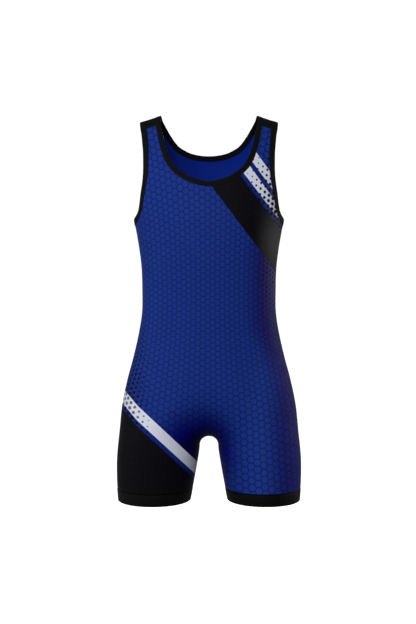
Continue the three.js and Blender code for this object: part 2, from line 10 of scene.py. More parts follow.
import bpy
import numpy as np
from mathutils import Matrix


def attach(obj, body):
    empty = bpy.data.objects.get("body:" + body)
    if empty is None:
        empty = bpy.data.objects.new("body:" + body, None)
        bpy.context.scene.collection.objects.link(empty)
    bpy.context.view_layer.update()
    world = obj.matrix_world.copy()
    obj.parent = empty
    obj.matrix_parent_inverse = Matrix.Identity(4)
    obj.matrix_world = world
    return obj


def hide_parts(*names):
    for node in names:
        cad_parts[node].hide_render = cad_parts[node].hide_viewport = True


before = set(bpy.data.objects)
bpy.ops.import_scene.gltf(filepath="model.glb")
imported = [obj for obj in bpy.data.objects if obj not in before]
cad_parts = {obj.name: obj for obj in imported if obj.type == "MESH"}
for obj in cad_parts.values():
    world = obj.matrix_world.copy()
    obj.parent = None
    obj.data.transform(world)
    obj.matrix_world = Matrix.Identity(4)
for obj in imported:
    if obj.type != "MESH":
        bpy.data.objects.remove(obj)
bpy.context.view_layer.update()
MM = 0.001

# %% [markdown]
# ## Camera, floor and surroundings
# The picture is a level front view. The camera stands 2 m in front of the side seams, half way up the
# garment, which is where the dip of the leg hems puts it. A garment that is worn has its floor well
# below the hems, so the floor is a plain pale sheet at the height where a wearer's feet would be.

# %% Camera
CAMERA_DISTANCE = 2.0
CAMERA_HEIGHT = -0.391
CAMERA_LENS = 56.56

camera_data = bpy.data.cameras.new("front_camera")
camera_data.lens = CAMERA_LENS
camera_data.sensor_width = 36
camera_data.clip_start = 0.05
camera = bpy.data.objects.new("front_camera", camera_data)
camera.location = (-0.002, -CAMERA_DISTANCE, CAMERA_HEIGHT)
camera.rotation_euler = (math.radians(90), 0, 0)
bpy.context.scene.collection.objects.link(camera)
bpy.context.scene.camera = camera
print("camera", tuple(camera.location), "lens", CAMERA_LENS)

# %% [markdown]
# ## The worn surface
# Every piece of cloth lies on one surface. It could be sculpted, but then the seams of two neighbours
# would not meet. Here it is worked out from level sections: a half width, a depth to the front and the
# back, and where the side seam lies. The depth is multiplied by four closing curves, each of which
# falls to nothing where the cloth turns over: at the side, at the inside of the leg and the crotch,
# and at the ridge of the shoulder. All lengths in this part are millimetres, as in the CAD source.

# %% Sizes
SHOULDER_WALL = 1.8
NECK_BINDING_WIDTH, ARM_BINDING_WIDTH = 11.0, 13.0
LEG_BAND_TOP, HEM = -747.0, -769.0
RIDGE_X, RIDGE_Z, RIDGE_SLOPE, RIDGE_ROUNDING = 120.0, SHOULDER_WALL / 2, 0.37, 60.0
CROTCH_Z, ARCH_RADIUS, ARCH_SPREAD, ARCH_EASE = -641.2, 19.4, 0.187, 12.0
ARCH_CENTRE_Z = CROTCH_Z - ARCH_RADIUS
LEG_BLEND_START, LEG_BLEND_HEIGHT = -10.0, 170.0
TRUNK_ROUNDNESS, LEG_ROUNDNESS = 2.3, 2.05
FRONT_DROP, BACK_DROP = 200.0, 185.0
FRONT_RISE, BACK_RISE = 105.0, 118.0
QUARTER = math.pi / 2
MIRROR = np.array([-1, 1, 1])
LEFT_AND_RIGHT = (("left", 1), ("right", -1))

# Level sections, from the shoulder down: height, half width, depth to the front, to the back, seam.
SECTION_ROWS = [
    (40, 182, 70, 80, 0), (0, 180, 80, 86, 0), (-45, 173, 86, 92, -2), (-80, 164, 92, 98, -3),
    (-125, 155, 99, 103, -5), (-165, 152, 105, 106, -6), (-204, 151, 109, 106, -8),
    (-232, 146, 109, 104, -9), (-261, 141, 108, 102, -10), (-301, 136, 104, 97, -12),
    (-346, 134.5, 100, 93, -12), (-391, 135, 98, 94, -12), (-431, 141, 97, 99, -12),
    (-480, 152, 98, 108, -12), (-529, 165, 100, 116, -12), (-578, 175, 100, 117, -12),
    (-626, 180, 98, 111, -12), (-683, 185.5, 96, 101, -12), (-730, 185.5, 93, 95, -12),
    (-769, 183, 91, 92, -12), (-800, 181, 90, 91, -12),
]
# Free edge of the neck, one half: is it on the back, distance from the centre, height.
NECK_ROWS = [
    (0, 0, -137.8), (0, 18.4, -134.7), (0, 34, -129), (0, 48.5, -121), (0, 63, -109),
    (0, 75.2, -91.5), (0, 85, -66.2), (0, 92, -35), (0, 96.6, -10), (1, 96, 4.4),
    (1, 90.9, -5.2), (1, 84.8, -15.2), (1, 78.8, -24.4), (1, 71.4, -34.4), (1, 62, -44),
    (1, 48.6, -51.5), (1, 36, -56.4), (1, 18, -59.8), (1, 0, -60.8),
]
# Free edge of the armhole, from the side seam up the front, over the strap and down the back.
ARM_ROWS = [
    (0, 151, -204), (0, 146.2, -200.5), (0, 140.4, -192), (0, 137.6, -178), (0, 135.6, -160),
    (0, 132.6, -140), (0, 130.6, -119), (0, 130.6, -94), (0, 132, -66), (0, 135, -40),
    (0, 139, -18), (1, 140, -14), (1, 136, -36), (1, 131.4, -64), (1, 128.6, -94),
    (1, 128.4, -122), (1, 131, -150), (1, 136, -176), (1, 141, -193), (1, 146.6, -201),
    (1, 151, -204),
]


# %% Smooth curve through a table
def smooth_table(keys, values):
    """A cubic through rows of numbers: each row's slope is that of the chord between its neighbours,
    and two rows are joined by the cubic that has both their values and both their slopes."""
    order = np.argsort(keys)
    keys, values = np.asarray(keys, float)[order], np.asarray(values, float)[order]
    rows = np.arange(len(keys))
    low, high = np.maximum(rows - 1, 0), np.minimum(rows + 1, len(keys) - 1)
    slopes = (values[high] - values[low]) / (keys[high] - keys[low])[:, None]

    def at(key):
        key = np.clip(np.asarray(key, float), keys[0], keys[-1])
        i = np.clip(np.searchsorted(keys, key) - 1, 0, len(keys) - 2)
        span = keys[i + 1] - keys[i]
        t = ((key - keys[i]) / span)[..., None]
        u = 1 - t
        start, end = slopes[i] * span[..., None], slopes[i + 1] * span[..., None]
        near = values[i] * u * u * (1 + 2 * t) + start * u * u * t
        return near + values[i + 1] * t * t * (3 - 2 * t) - end * t * t * u

    return at


sections = np.array(SECTION_ROWS, float)
section_at = smooth_table(sections[:, 0], sections[:, 1:])
print("waist half width", round(float(section_at(-346)[0]), 1), "mm; sections", len(sections))


# %% Depth and place on the worn surface
def ease(t):
    """Three t squared less two t cubed: level at both ends."""
    t = np.clip(t, 0, 1)
    return t * t * (3 - 2 * t)


def closing(t, roundness):
    """A quarter of a rounded square: nothing and upright at 0, one and level at 1."""
    return (1 - (1 - np.clip(t, 0, 1)) ** roundness) ** (1 / roundness)


def ridge_z(x):
    """Height of the shoulder ridge: it falls with the distance from the centre, rounded at the neck."""
    return RIDGE_Z - RIDGE_SLOPE * (np.hypot(x, RIDGE_ROUNDING) - math.hypot(RIDGE_X, RIDGE_ROUNDING))


def arch_half_width(z):
    """Half the gap between the legs: a round arch's radius, then a steady spread eased in below it."""
    drop = np.maximum(0, ARCH_CENTRE_Z - z)
    return ARCH_RADIUS + ARCH_SPREAD * drop * drop / (drop + ARCH_EASE)


def depth_at(x, z, back):
    """Depth from the side seam: the section's depth times the side, inside leg and shoulder closings.
    The inside closing runs on the distance from the centre of the arch between the legs."""
    half_width = section_at(z)[..., 0]
    leg_half = (half_width - arch_half_width(z)) / 2
    above = np.maximum(0, z - ARCH_CENTRE_Z)
    from_arch = np.hypot(x, above)
    upright = (above / np.maximum(from_arch, 1e-9)) ** 2
    rise = np.where(back, BACK_RISE, FRONT_RISE)
    inner_reach = leg_half + (rise - leg_half) * upright
    inner = closing((from_arch - arch_half_width(z)) / inner_reach, LEG_ROUNDNESS)
    trunk = ease((z - CROTCH_Z - LEG_BLEND_START) / LEG_BLEND_HEIGHT)
    side_reach = leg_half + (half_width - leg_half) * trunk
    roundness = LEG_ROUNDNESS + (TRUNK_ROUNDNESS - LEG_ROUNDNESS) * trunk
    outer = closing((half_width - x) / side_reach, roundness)
    top = closing((ridge_z(x) - z) / np.where(back, BACK_DROP, FRONT_DROP), 2)
    return np.where(back, section_at(z)[..., 2], section_at(z)[..., 1]) * inner * outer * top


def unit(v):
    return v / np.maximum(np.linalg.norm(v, axis=-1, keepdims=True), 1e-12)


def run_length(line):
    """The length of a line of points from its start to each point."""
    return np.concatenate([[0], np.cumsum(np.linalg.norm(np.diff(line, axis=0), axis=1))])


def surface(x, z, back, on_seam=False):
    """Place and outward normal. The normal is the slope of the depth across and up, and one towards
    the viewer; on a seam between front and back it is level across the seam."""
    x, z, back, on_seam = np.broadcast_arrays(np.asarray(x, float), np.asarray(z, float), back, on_seam)
    facing = np.where(back, 1.0, -1.0)
    step = 0.01
    slope_x = (depth_at(x + step, z, back) - depth_at(np.abs(x - step), z, back)) / (2 * step)
    slope_z = (depth_at(x, z + step, back) - depth_at(x, z - step, back)) / (2 * step)
    seam_slope = (section_at(z + step)[..., 3] - section_at(z - step)[..., 3]) / (2 * step)
    normal = np.stack([-slope_x, facing, -slope_z - facing * seam_slope], -1)
    normal[..., 0] = np.where(x == 0, 0, normal[..., 0])
    normal = unit(normal)
    normal[..., 1] = np.where(on_seam, 0, normal[..., 1])
    y = section_at(z)[..., 3] + np.where(on_seam, 0, facing * depth_at(x, z, back))
    return np.stack([x, y, z], -1), unit(normal)


# %% [markdown]
# ## A chart over the shoulder
# Seen from the front, the surface stands on edge at the side seams and at the shoulder ridge, so
# plain x and z are poor coordinates there. Two angles are better: the turn runs from the centre to the
# side seam, and the tilt runs from the ridge down the front, or below zero down the back.

# %% Chart
CHART_DROP = 290.0


def chart_place(turn, tilt):
    """x is the half width times the sine of the turn, and z lies below the ridge by one less the
    cosine of the tilt. Each needs the other, so the two are repeated until they settle."""
    turn, tilt = np.broadcast_arrays(np.asarray(turn, float), np.asarray(tilt, float))
    z = np.full(turn.shape, -80.0)
    for _ in range(30):
        x = section_at(z)[..., 0] * np.sin(turn)
        z = ridge_z(x) - CHART_DROP * (1 - np.cos(tilt))
    return np.maximum(0, x), z, tilt < 0


def chart_surface(chart):
    x, z, back = chart_place(chart[..., 0], chart[..., 1])
    return surface(x, z, back, np.abs(chart[..., 0] - QUARTER) < 1e-9)


def to_chart(x, z, back):
    turn = np.arcsin(np.clip(x / section_at(z)[..., 0], 0, 1))
    tilt = np.arccos(1 - np.maximum(0, ridge_z(x) - z) / CHART_DROP)
    return np.stack([turn, np.where(back, -tilt, tilt)], -1)


def snapped(chart, turn):
    chart[..., 0] = np.where(np.abs(chart[..., 0] - turn) < 1e-6, turn, np.minimum(chart[..., 0], QUARTER))
    return chart


def edge_curve(rows, end_turn):
    """A garment edge: a smooth curve on the chart by length, mirrored at both its ends."""
    rows = np.array(rows, float)
    charts = to_chart(rows[:, 1], rows[:, 2], rows[:, 0] > 0)
    charts[[0, -1], 0] = end_turn
    places = chart_surface(charts)[0]
    travelled = run_length(places)
    flipped = charts * [-1, 1] + [2 * end_turn, 0]
    keys = np.concatenate([[-travelled[1]], travelled, [2 * travelled[-1] - travelled[-2]]])
    table = smooth_table(keys, np.concatenate([flipped[1:2], charts, flipped[-2:-1]]))
    return travelled[-1], lambda s: snapped(table(s), end_turn)


def walk(chart, direction, distance):
    """Moves places on the chart by a distance over the cloth: the wanted step is shared between turn
    and tilt by the two slopes of the surface there, as a small two by two problem."""
    step = 0.002
    back_turn = np.maximum(0, chart[:, 0] - step)
    here = chart_surface(chart)[0]
    turn_step = np.maximum(chart[:, 0] - back_turn, 1e-9)[:, None]
    by_turn = (here - chart_surface(np.stack([back_turn, chart[:, 1]], -1))[0]) / turn_step
    by_tilt = (here - chart_surface(np.stack([chart[:, 0], chart[:, 1] - step], -1))[0]) / step
    target = direction * distance
    aa, ab, bb = (by_turn * by_turn).sum(1), (by_turn * by_tilt).sum(1), (by_tilt * by_tilt).sum(1)
    ta, tb = (by_turn * target).sum(1), (by_tilt * target).sum(1)
    flat = aa < 1e-6
    scale = np.where(flat, 1, aa * bb - ab * ab)
    turn = np.where(flat, 0, (ta * bb - tb * ab) / scale)
    tilt = np.where(flat, tb / bb, (tb * aa - ta * ab) / scale)
    return chart + np.stack([turn, tilt], -1)


def inside_edge(total, edge, width, end_turn, inward):
    """The line beside an edge, a set width in over the cloth."""
    s = np.linspace(0, total, 45)
    chart = edge(s)
    along = unit(chart_surface(edge(s + 1))[0] - chart_surface(edge(s - 1))[0])
    along[[0, -1]] = [1, 0, 0] if end_turn == 0 else [0, 1, 0]
    for _ in range(4):
        across = unit(np.cross(chart_surface(chart)[1], along))
        sign = np.full(len(s), float(inward))
        sign[[0, -1]] = -np.sign(across[[0, -1], 2])
        chart = walk(chart, across * sign[:, None], width / 4)
        chart[[0, -1], 0] = end_turn
    table = smooth_table(s, chart)
    return lambda at: snapped(table(at), end_turn)


neck_total, neck_free = edge_curve(NECK_ROWS, 0.0)
arm_total, arm_free = edge_curve(ARM_ROWS, QUARTER)
neck_seam = inside_edge(neck_total, neck_free, NECK_BINDING_WIDTH, 0.0, -1)
arm_seam = inside_edge(arm_total, arm_free, ARM_BINDING_WIDTH, QUARTER, 1)
print("neck edge", round(2 * neck_total), "mm round; armhole", round(arm_total), "mm round")


# %% Stations along the seams
STRAPS = {
    False: dict(corner_x=80.0, arm_z=-122.0, seam_x=106.6, seam_arm_z=-22.0),
    True: dict(corner_x=72.0, arm_z=-106.0, seam_x=101.0, seam_arm_z=-22.0),
}


def passing(curve, start, end, measure):
    """The length along a curve at which a measure of the place first passes zero, by halving."""
    low, high = start, end
    for _ in range(50):
        middle = (low + high) / 2
        if measure(*chart_place(*curve(middle))[:2]) < 0:
            low = middle
        else:
            high = middle
    return (low + high) / 2


def ridge_length(curve, total):
    s = np.linspace(0, total, 4001)
    return s[np.argmax(curve(s)[:, 1] < 0)]


def stations_for(back):
    size = STRAPS[back]
    neck_start, arm_start = (neck_total, arm_total) if back else (0.0, 0.0)
    neck_ridge, arm_ridge = ridge_length(neck_seam, neck_total), ridge_length(arm_seam, arm_total)
    return dict(
        neck_start=neck_start, arm_start=arm_start,
        neck_corner=passing(neck_seam, neck_start, neck_ridge, lambda x, z: x - size["corner_x"]),
        neck_top=passing(neck_seam, neck_start, neck_ridge, lambda x, z: x - size["seam_x"]),
        arm_corner=passing(arm_seam, arm_start, arm_ridge, lambda x, z: z - size["arm_z"]),
        arm_top=passing(arm_seam, arm_start, arm_ridge, lambda x, z: z - size["seam_arm_z"]),
    )


STATIONS = {back: stations_for(back) for back in (False, True)}
print("front stations", {k: round(v) for k, v in STATIONS[False].items()})

# %% [markdown]
# ## The two panels as grids
# A panel is cut as one flat piece, from the strap tops to both legs. As a grid it has level rows below
# the chest. From there to the neck its rows bend, so that the last of them follows the neck seam, and
# the outermost columns go on up the strap. Half a panel is worked out, and the other half mirrored.

# %% Grid rows
FINE = 4
COLUMNS, NECK_COLUMNS = 12 * FINE, 8 * FINE
LEG_ROWS, ARCH_ROWS, TRUNK_ROWS = 4 * FINE, 3 * FINE, 28 * FINE
CHEST_ROWS, STRAP_ROWS, SHOULDER_ROWS = 9 * FINE, 7 * FINE, 8 * FINE
CHEST_FOOT_Z, ROW_LIFT, PATH_STEPS = -256.0, 3, 400


def level_rows(inner_x, inner_z, outer_z, back, inner_seam):
    """Rows from the inside to the side seam, with equal steps along the cloth: each row is first a
    fine path, then its length is added up and cut into equal shares."""
    t = (1 - np.cos(np.pi * np.arange(PATH_STEPS + 1) / PATH_STEPS)) / 2
    lift = (np.arcsin(t) / QUARTER) ** ROW_LIFT
    z = inner_z[:, None] + (outer_z - inner_z)[:, None] * lift
    x = inner_x[:, None] + (section_at(z)[..., 0] - inner_x[:, None]) * t
    y = section_at(z)[..., 3] + depth_at(x, z, back) * (1 if back else -1)
    steps = np.sqrt(np.diff(x) ** 2 + np.diff(y) ** 2 + np.diff(z) ** 2)
    travelled = np.concatenate([np.zeros((len(x), 1)), np.cumsum(steps, 1)], 1)
    share = np.linspace(0, 1, COLUMNS + 1)
    row_x = np.stack([np.interp(share * s[-1], s, r) for s, r in zip(travelled, x)])
    row_z = np.stack([np.interp(share * s[-1], s, r) for s, r in zip(travelled, z)])
    seam = np.zeros(row_x.shape, bool)
    seam[:, -1] = True
    seam[:, 0] = inner_seam
    return row_x, row_z, seam


def lower_rows(back):
    leg_z = np.linspace(LEG_BAND_TOP, ARCH_CENTRE_Z, LEG_ROWS + 1)
    arm_foot_z = float(chart_place(*arm_seam(STATIONS[back]["arm_start"]))[1])
    side_z = np.linspace(ARCH_CENTRE_Z, arm_foot_z, ARCH_ROWS + TRUNK_ROWS + 1)
    angle = QUARTER * np.arange(1, ARCH_ROWS + 1) / ARCH_ROWS
    fine_z = CROTCH_Z + (CHEST_FOOT_Z - CROTCH_Z) * np.linspace(0, 1, 3001) ** 2
    climb = np.hypot(np.diff(fine_z), np.diff(depth_at(0 * fine_z, fine_z, back)))
    travelled = np.concatenate([[0], np.cumsum(climb)])
    centre_z = np.interp(np.linspace(0, travelled[-1], TRUNK_ROWS + 1), travelled, fine_z)[1:]
    arch_x, arch_z = ARCH_RADIUS * np.cos(angle), ARCH_CENTRE_Z + ARCH_RADIUS * np.sin(angle)
    arch_x[-1], arch_z[-1] = 0, CROTCH_Z
    inner_x = np.concatenate([arch_half_width(leg_z), arch_x, 0 * centre_z])
    inner_z = np.concatenate([leg_z, arch_z, centre_z])
    outer_z = np.concatenate([leg_z, side_z[1:]])
    return level_rows(inner_x, inner_z, outer_z, back, inner_z <= CROTCH_Z)


def neck_stations(back):
    s = STATIONS[back]
    arc = np.linspace(s["neck_start"], s["neck_corner"], NECK_COLUMNS + 1)
    return np.concatenate([arc, np.linspace(s["neck_corner"], s["neck_top"], STRAP_ROWS + 1)[1:]])


def arm_stations(back):
    s = STATIONS[back]
    low = np.linspace(s["arm_start"], s["arm_corner"], CHEST_ROWS + 1)
    return np.concatenate([low, np.linspace(s["arm_corner"], s["arm_top"], STRAP_ROWS + 1)[1:]])


def chest_rows(back, foot):
    """Rows between the foot of the chest and the neck: a straight blend of the two, plus a share of
    how far the armhole bows from straight, growing from none at the centre."""
    s = STATIONS[back]
    foot = foot.copy()
    foot[-1, 0] = QUARTER
    neck_end = neck_seam(np.linspace(s["neck_start"], s["neck_corner"], NECK_COLUMNS + 1))
    arm = arm_seam(s["arm_corner"])
    t = np.linspace(0, 1, COLUMNS - NECK_COLUMNS + 1)[1:, None]
    top = np.concatenate([neck_end, neck_end[-1] + (arm - neck_end[-1]) * t])
    w = (np.arange(1, CHEST_ROWS + 1) / CHEST_ROWS)[:, None, None]
    straight = foot + (top - foot) * w
    bow = arm_seam(arm_stations(back)[1:CHEST_ROWS + 1])[:, None] - straight[:, -1:]
    return straight + bow * np.linspace(0, 1, COLUMNS + 1)[None, :, None]


def ruled_rows(neck_lengths, arm_lengths, columns):
    """Straight lines on the chart from the neck seam to the armhole seam."""
    inner, outer = neck_seam(neck_lengths)[:, None], arm_seam(arm_lengths)[:, None]
    return inner + (outer - inner) * np.linspace(0, 1, columns + 1)[None, :, None]


# %% [markdown]
# ## Where the print lies
# The print is dyed into the flat panel, and the knit stretches over the body: its cells are narrow at
# the waist, wide at the shoulder and the leg, and its columns fan out over the hips. Seen from the
# front the cells keep their width almost to the outline. So the print's coordinate across the panel is
# x, and takes in the cloth that lies on the slope only where the cloth turns well away to the side.

# %% Print coordinates
WRAP_SHARE, WRAP_EASE = 0.85, 34.0
PRINT_Z, PRINT_STEPS = np.linspace(-790, 12, 402), 240


def print_table(back):
    """For each height, the extra cloth between the crest and each place, outwards counted as plus."""
    t = np.linspace(0, 1, PRINT_STEPS + 1)
    start = np.where(PRINT_Z < ARCH_CENTRE_Z, arch_half_width(PRINT_Z), 0)
    up = np.clip((PRINT_Z - ARCH_CENTRE_Z) / ARCH_RADIUS, 0, 1)
    start = np.where(PRINT_Z >= ARCH_CENTRE_Z, ARCH_RADIUS * np.sqrt(1 - up * up), start)
    span = section_at(PRINT_Z)[:, 0] - start
    x = start[:, None] + span[:, None] * (1 - np.cos(np.pi * t)) / 2
    depth = depth_at(x, PRINT_Z[:, None] + 0 * x, back)
    dx, dy = np.diff(x, axis=1), np.diff(depth, axis=1)
    extra = (np.hypot(dx, dy) - dx) * np.where(dy > 0, -1, 1)
    total = np.concatenate([np.zeros((len(x), 1)), np.cumsum(extra, 1)], 1)
    crest = total[np.arange(len(x)), depth.argmax(1)]
    return (total - crest[:, None]) * ease(x / 40), start, span


PRINT_TABLES = {back: print_table(back) for back in (False, True)}


def print_x(x, z, back):
    """Looks up the extra cloth by height and by place along the section. What is added to x is a share
    of the extra cubed, over the sum of the extra squared and the ease squared."""
    table, start, span = PRINT_TABLES[back]
    row = np.clip((z - PRINT_Z[0]) / (PRINT_Z[1] - PRINT_Z[0]), 0, len(PRINT_Z) - 1.001)
    i, f = row.astype(int), row % 1
    place = (x - (start[i] * (1 - f) + start[i + 1] * f)) / (span[i] * (1 - f) + span[i + 1] * f)
    column = np.arccos(1 - 2 * np.clip(place, 0, 1)) / np.pi * PRINT_STEPS
    column = np.clip(column, 0, PRINT_STEPS - 0.001)
    j, g = column.astype(int), column % 1
    low = table[i, j] * (1 - g) + table[i, j + 1] * g
    high = table[i + 1, j] * (1 - g) + table[i + 1, j + 1] * g
    extra = low * (1 - f) + high * f
    return x + WRAP_SHARE * extra ** 3 / (extra ** 2 + WRAP_EASE ** 2)


# The honeycomb by height: the width of a column of cells at the centre, how many columns more it has
# crossed 100 mm out, the number of rows down at the centre, and how many rows more it has 100 mm out.
CELL_ROWS = [
    # height, column, more columns, rows, more rows
    (-10, 13.86, 0.18, -32.58, -0.57), (-70, 12.12, 0.12, -28.97, -0.56),
    (-130, 11.00, 0.04, -24.78, -0.53), (-180, 10.32, -0.01, -21.27, -0.42),
    (-230, 9.78, -0.02, -17.28, -0.27), (-290, 9.44, -0.03, -12.30, -0.18),
    (-350, 9.26, 0.00, -7.02, -0.18), (-410, 9.37, 0.05, -1.63, -0.08),
    (-470, 9.89, 0.02, 3.76, 0.15), (-530, 10.58, -0.07, 8.99, 0.27),
    (-590, 11.29, -0.12, 13.87, 0.32), (-650, 11.79, -0.05, 18.34, 0.34),
    (-710, 12.25, 0.00, 22.71, 0.37), (-770, 12.93, 0.05, 26.80, 0.42),
]
cells = np.array(CELL_ROWS, float)
cell_at = smooth_table(cells[:, 0], cells[:, 1:])
CENTRE_COLUMN = 0.25
print("honeycomb rows from hem to strap", round(float(cells[-1, 3] - cells[0, 3]), 1))


def honeycomb_cells(across, z):
    """Columns: the distance across over the column's width, plus a cubic share. Rows: the count at the
    centre plus a square share."""
    column, more_columns, rows, more_rows = np.moveaxis(cell_at(z), -1, 0)
    out = across / 100
    columns = across / column + more_columns * out ** 3 + CENTRE_COLUMN
    return np.stack([columns, rows + more_rows * out ** 2], -1)


# %% Panel grids, one half each
def grid_quads(ids):
    """Four-sided faces between the rows and columns of a grid of node numbers."""
    return np.stack([ids[:-1, :-1], ids[:-1, 1:], ids[1:, 1:], ids[1:, :-1]], -1).reshape(-1, 4)


def panel_half(back):
    """Nodes of half a panel as flat arrays, with the four-sided faces that join them."""
    x, z, seam = lower_rows(back)
    foot = to_chart(x[-1], z[-1], np.full(COLUMNS + 1, back))
    chest = chest_rows(back, foot)
    strap = ruled_rows(neck_stations(back)[NECK_COLUMNS + 1:], arm_stations(back)[CHEST_ROWS + 1:],
                       COLUMNS - NECK_COLUMNS)
    chart = np.concatenate([chest.reshape(-1, 2), strap.reshape(-1, 2)])
    upper_x, upper_z, _ = chart_place(chart[:, 0], chart[:, 1])
    upper_seam = np.abs(chart[:, 0] - QUARTER) < 1e-9
    x, z = np.concatenate([x.ravel(), upper_x]), np.concatenate([z.ravel(), upper_z])
    seam = np.concatenate([seam.ravel(), upper_seam])
    main = np.arange(len(x) - strap[..., 0].size).reshape(-1, COLUMNS + 1)
    tail = np.arange(main.size, len(x)).reshape(strap.shape[:2])
    tail = np.concatenate([main[-1:, NECK_COLUMNS:], tail])
    quads = [grid_quads(ids) for ids in (main, tail)]
    place, normal = surface(x, z, back, seam)
    return dict(place=place, normal=normal, quads=np.concatenate(quads), across=print_x(x, z, back))


def whole(half):
    """The half and its mirror image, sharing the nodes on the centre line."""
    on_line = half["place"][:, 0] == 0
    count = len(on_line)
    other = np.full(count, -1)
    other[on_line] = np.flatnonzero(on_line)
    other[~on_line] = count + np.arange((~on_line).sum())
    place = np.concatenate([half["place"], half["place"][~on_line] * MIRROR])
    normal = np.concatenate([half["normal"], half["normal"][~on_line] * MIRROR])
    across = np.concatenate([half["across"], -half["across"][~on_line]])
    quads = np.concatenate([half["quads"], other[half["quads"]][:, ::-1]])
    return dict(place=place, normal=normal, quads=quads, across=across)


def facing_out(grid):
    """Turns the faces round where they are clockwise as seen along the normals."""
    p, quads = grid["place"], grid["quads"]
    turn = np.cross(p[quads[:, 2]] - p[quads[:, 0]], p[quads[:, 3]] - p[quads[:, 1]])
    wrong = (turn * grid["normal"][quads].sum(1)).sum(1) < 0
    quads[wrong] = quads[wrong][:, ::-1]
    return grid


front_grid = facing_out(whole(panel_half(False)))
back_grid = facing_out(whole(panel_half(True)))
print("front nodes", len(front_grid["place"]), "back nodes", len(back_grid["place"]))

# %% [markdown]
# ## From a grid to a shell of cloth
# A Solidify modifier would do, but its rim takes no account of the seams. Here the outer and the inner
# face are the grid moved out and in along its normals by half the cloth's thickness, and a ring of
# narrow faces closes every edge. The inner face has its own material, as the print is on one side only.

# %% Shell
def boundary_edges(quads):
    """Directed edges that no other face runs along the other way."""
    edges = np.concatenate([quads[:, [k, (k + 1) % 4]] for k in range(4)])
    code = edges[:, 0].astype(np.int64) * (1 << 32) + edges[:, 1]
    back_code = edges[:, 1].astype(np.int64) * (1 << 32) + edges[:, 0]
    return edges[~np.isin(back_code, code)]


def tube_facing_out(verts, quads):
    """A closed tube's faces all turn one way, so the sign of its volume says whether to flip them."""
    a, b, c, d = (verts[quads[:, k]] for k in range(4))
    volume = (a * np.cross(b, c)).sum() + (a * np.cross(c, d)).sum()
    return quads if volume > 0 else quads[:, ::-1]


def new_object(name, verts, quads, uv_maps, material_index, sharp=None):
    """Puts whole arrays into a mesh: places in metres, faces of four, one or more UV maps by node."""
    mesh = bpy.data.meshes.new(name)
    mesh.vertices.add(len(verts))
    mesh.vertices.foreach_set("co", (verts * MM).astype(np.float32).ravel())
    mesh.loops.add(quads.size)
    mesh.loops.foreach_set("vertex_index", quads.ravel().astype(np.int32))
    mesh.polygons.add(len(quads))
    mesh.polygons.foreach_set("loop_start", np.arange(0, quads.size, 4, dtype=np.int32))
    mesh.polygons.foreach_set("material_index", material_index.astype(np.int32))
    mesh.update(calc_edges=True)
    for uv_name, uv in uv_maps.items():
        layer = mesh.uv_layers.new(name=uv_name)
        layer.data.foreach_set("uv", uv[quads.ravel()].astype(np.float32).ravel())
    mesh.polygons.foreach_set("use_smooth", np.ones(len(quads), bool))
    if sharp is not None:
        ends = np.zeros(len(mesh.edges) * 2, np.int32)
        mesh.edges.foreach_get("vertices", ends)
        ends = np.sort(ends.reshape(-1, 2), 1).astype(np.int64)
        wanted = np.sort(sharp, 1).astype(np.int64)
        flags = np.isin(ends[:, 0] * (1 << 32) + ends[:, 1], wanted[:, 0] * (1 << 32) + wanted[:, 1])
        mesh.edges.foreach_set("use_edge_sharp", flags)
    mesh.validate()
    made = bpy.data.objects.new(name, mesh)
    bpy.context.scene.collection.objects.link(made)
    return made


def shell(name, grid, thickness, uv_maps):
    """Outer face, inner face turned round, and a rim of one face for each boundary edge."""
    count = len(grid["place"])
    half = grid["normal"] * thickness / 2
    verts = np.concatenate([grid["place"] + half, grid["place"] - half])
    rim = boundary_edges(grid["quads"])
    rim_quads = np.stack([rim[:, 0], rim[:, 0] + count, rim[:, 1] + count, rim[:, 1]], -1)
    quads = np.concatenate([grid["quads"], grid["quads"][:, ::-1] + count, rim_quads])
    index = np.concatenate([np.zeros(len(grid["quads"])), np.ones(len(grid["quads"])), np.zeros(len(rim))])
    doubled = {key: np.concatenate([uv, uv]) for key, uv in uv_maps.items()}
    return new_object(name, verts, quads, doubled, index, np.concatenate([rim, rim + count]))


PANEL_WALL = 0.9


def panel_maps(grid):
    z = grid["place"][:, 2]
    flat = np.stack([grid["across"], z], -1) * MM
    return {"cloth": flat, "honeycomb": honeycomb_cells(grid["across"], z)}


front_cloth = shell("front_cloth", front_grid, PANEL_WALL, panel_maps(front_grid))
back_cloth = shell("back_cloth", back_grid, PANEL_WALL, panel_maps(back_grid))
print("front faces", len(front_cloth.data.polygons), "back faces", len(back_cloth.data.polygons))

# %% [markdown]
# ## Shoulder pieces
# A short black piece of the same knit joins the two straps over the shoulder. It runs from a seam on
# the front over the ridge to a seam on the back, between the neck binding and the armhole binding.

# %% Shoulder pieces
SHOULDER_COLUMNS, SHOULDER_CLOTH_WALL = 16, 1.5
shoulder_neck = np.linspace(STATIONS[False]["neck_top"], STATIONS[True]["neck_top"], SHOULDER_ROWS + 1)
shoulder_arm = np.linspace(STATIONS[False]["arm_top"], STATIONS[True]["arm_top"], SHOULDER_ROWS + 1)


def lengths_of(grid_places):
    """Distances along and across a grid of places, for a UV map in metres."""
    along = np.cumsum(np.linalg.norm(np.diff(grid_places, axis=0, prepend=grid_places[:1]), axis=-1), 0)
    across = np.cumsum(np.linalg.norm(np.diff(grid_places, axis=1, prepend=grid_places[:, :1]), axis=-1), 1)
    return np.stack([across, along], -1).reshape(-1, 2) * MM


def lapped(stations, lap=1.2):
    """The stations with both ends moved out, so that the piece laps a little under the panels."""
    ends = stations[[0, -1]] + np.sign(stations[-1] - stations[0]) * np.array([-lap, lap])
    return np.interp(np.linspace(0, 1, len(stations)), [0, 1], ends)


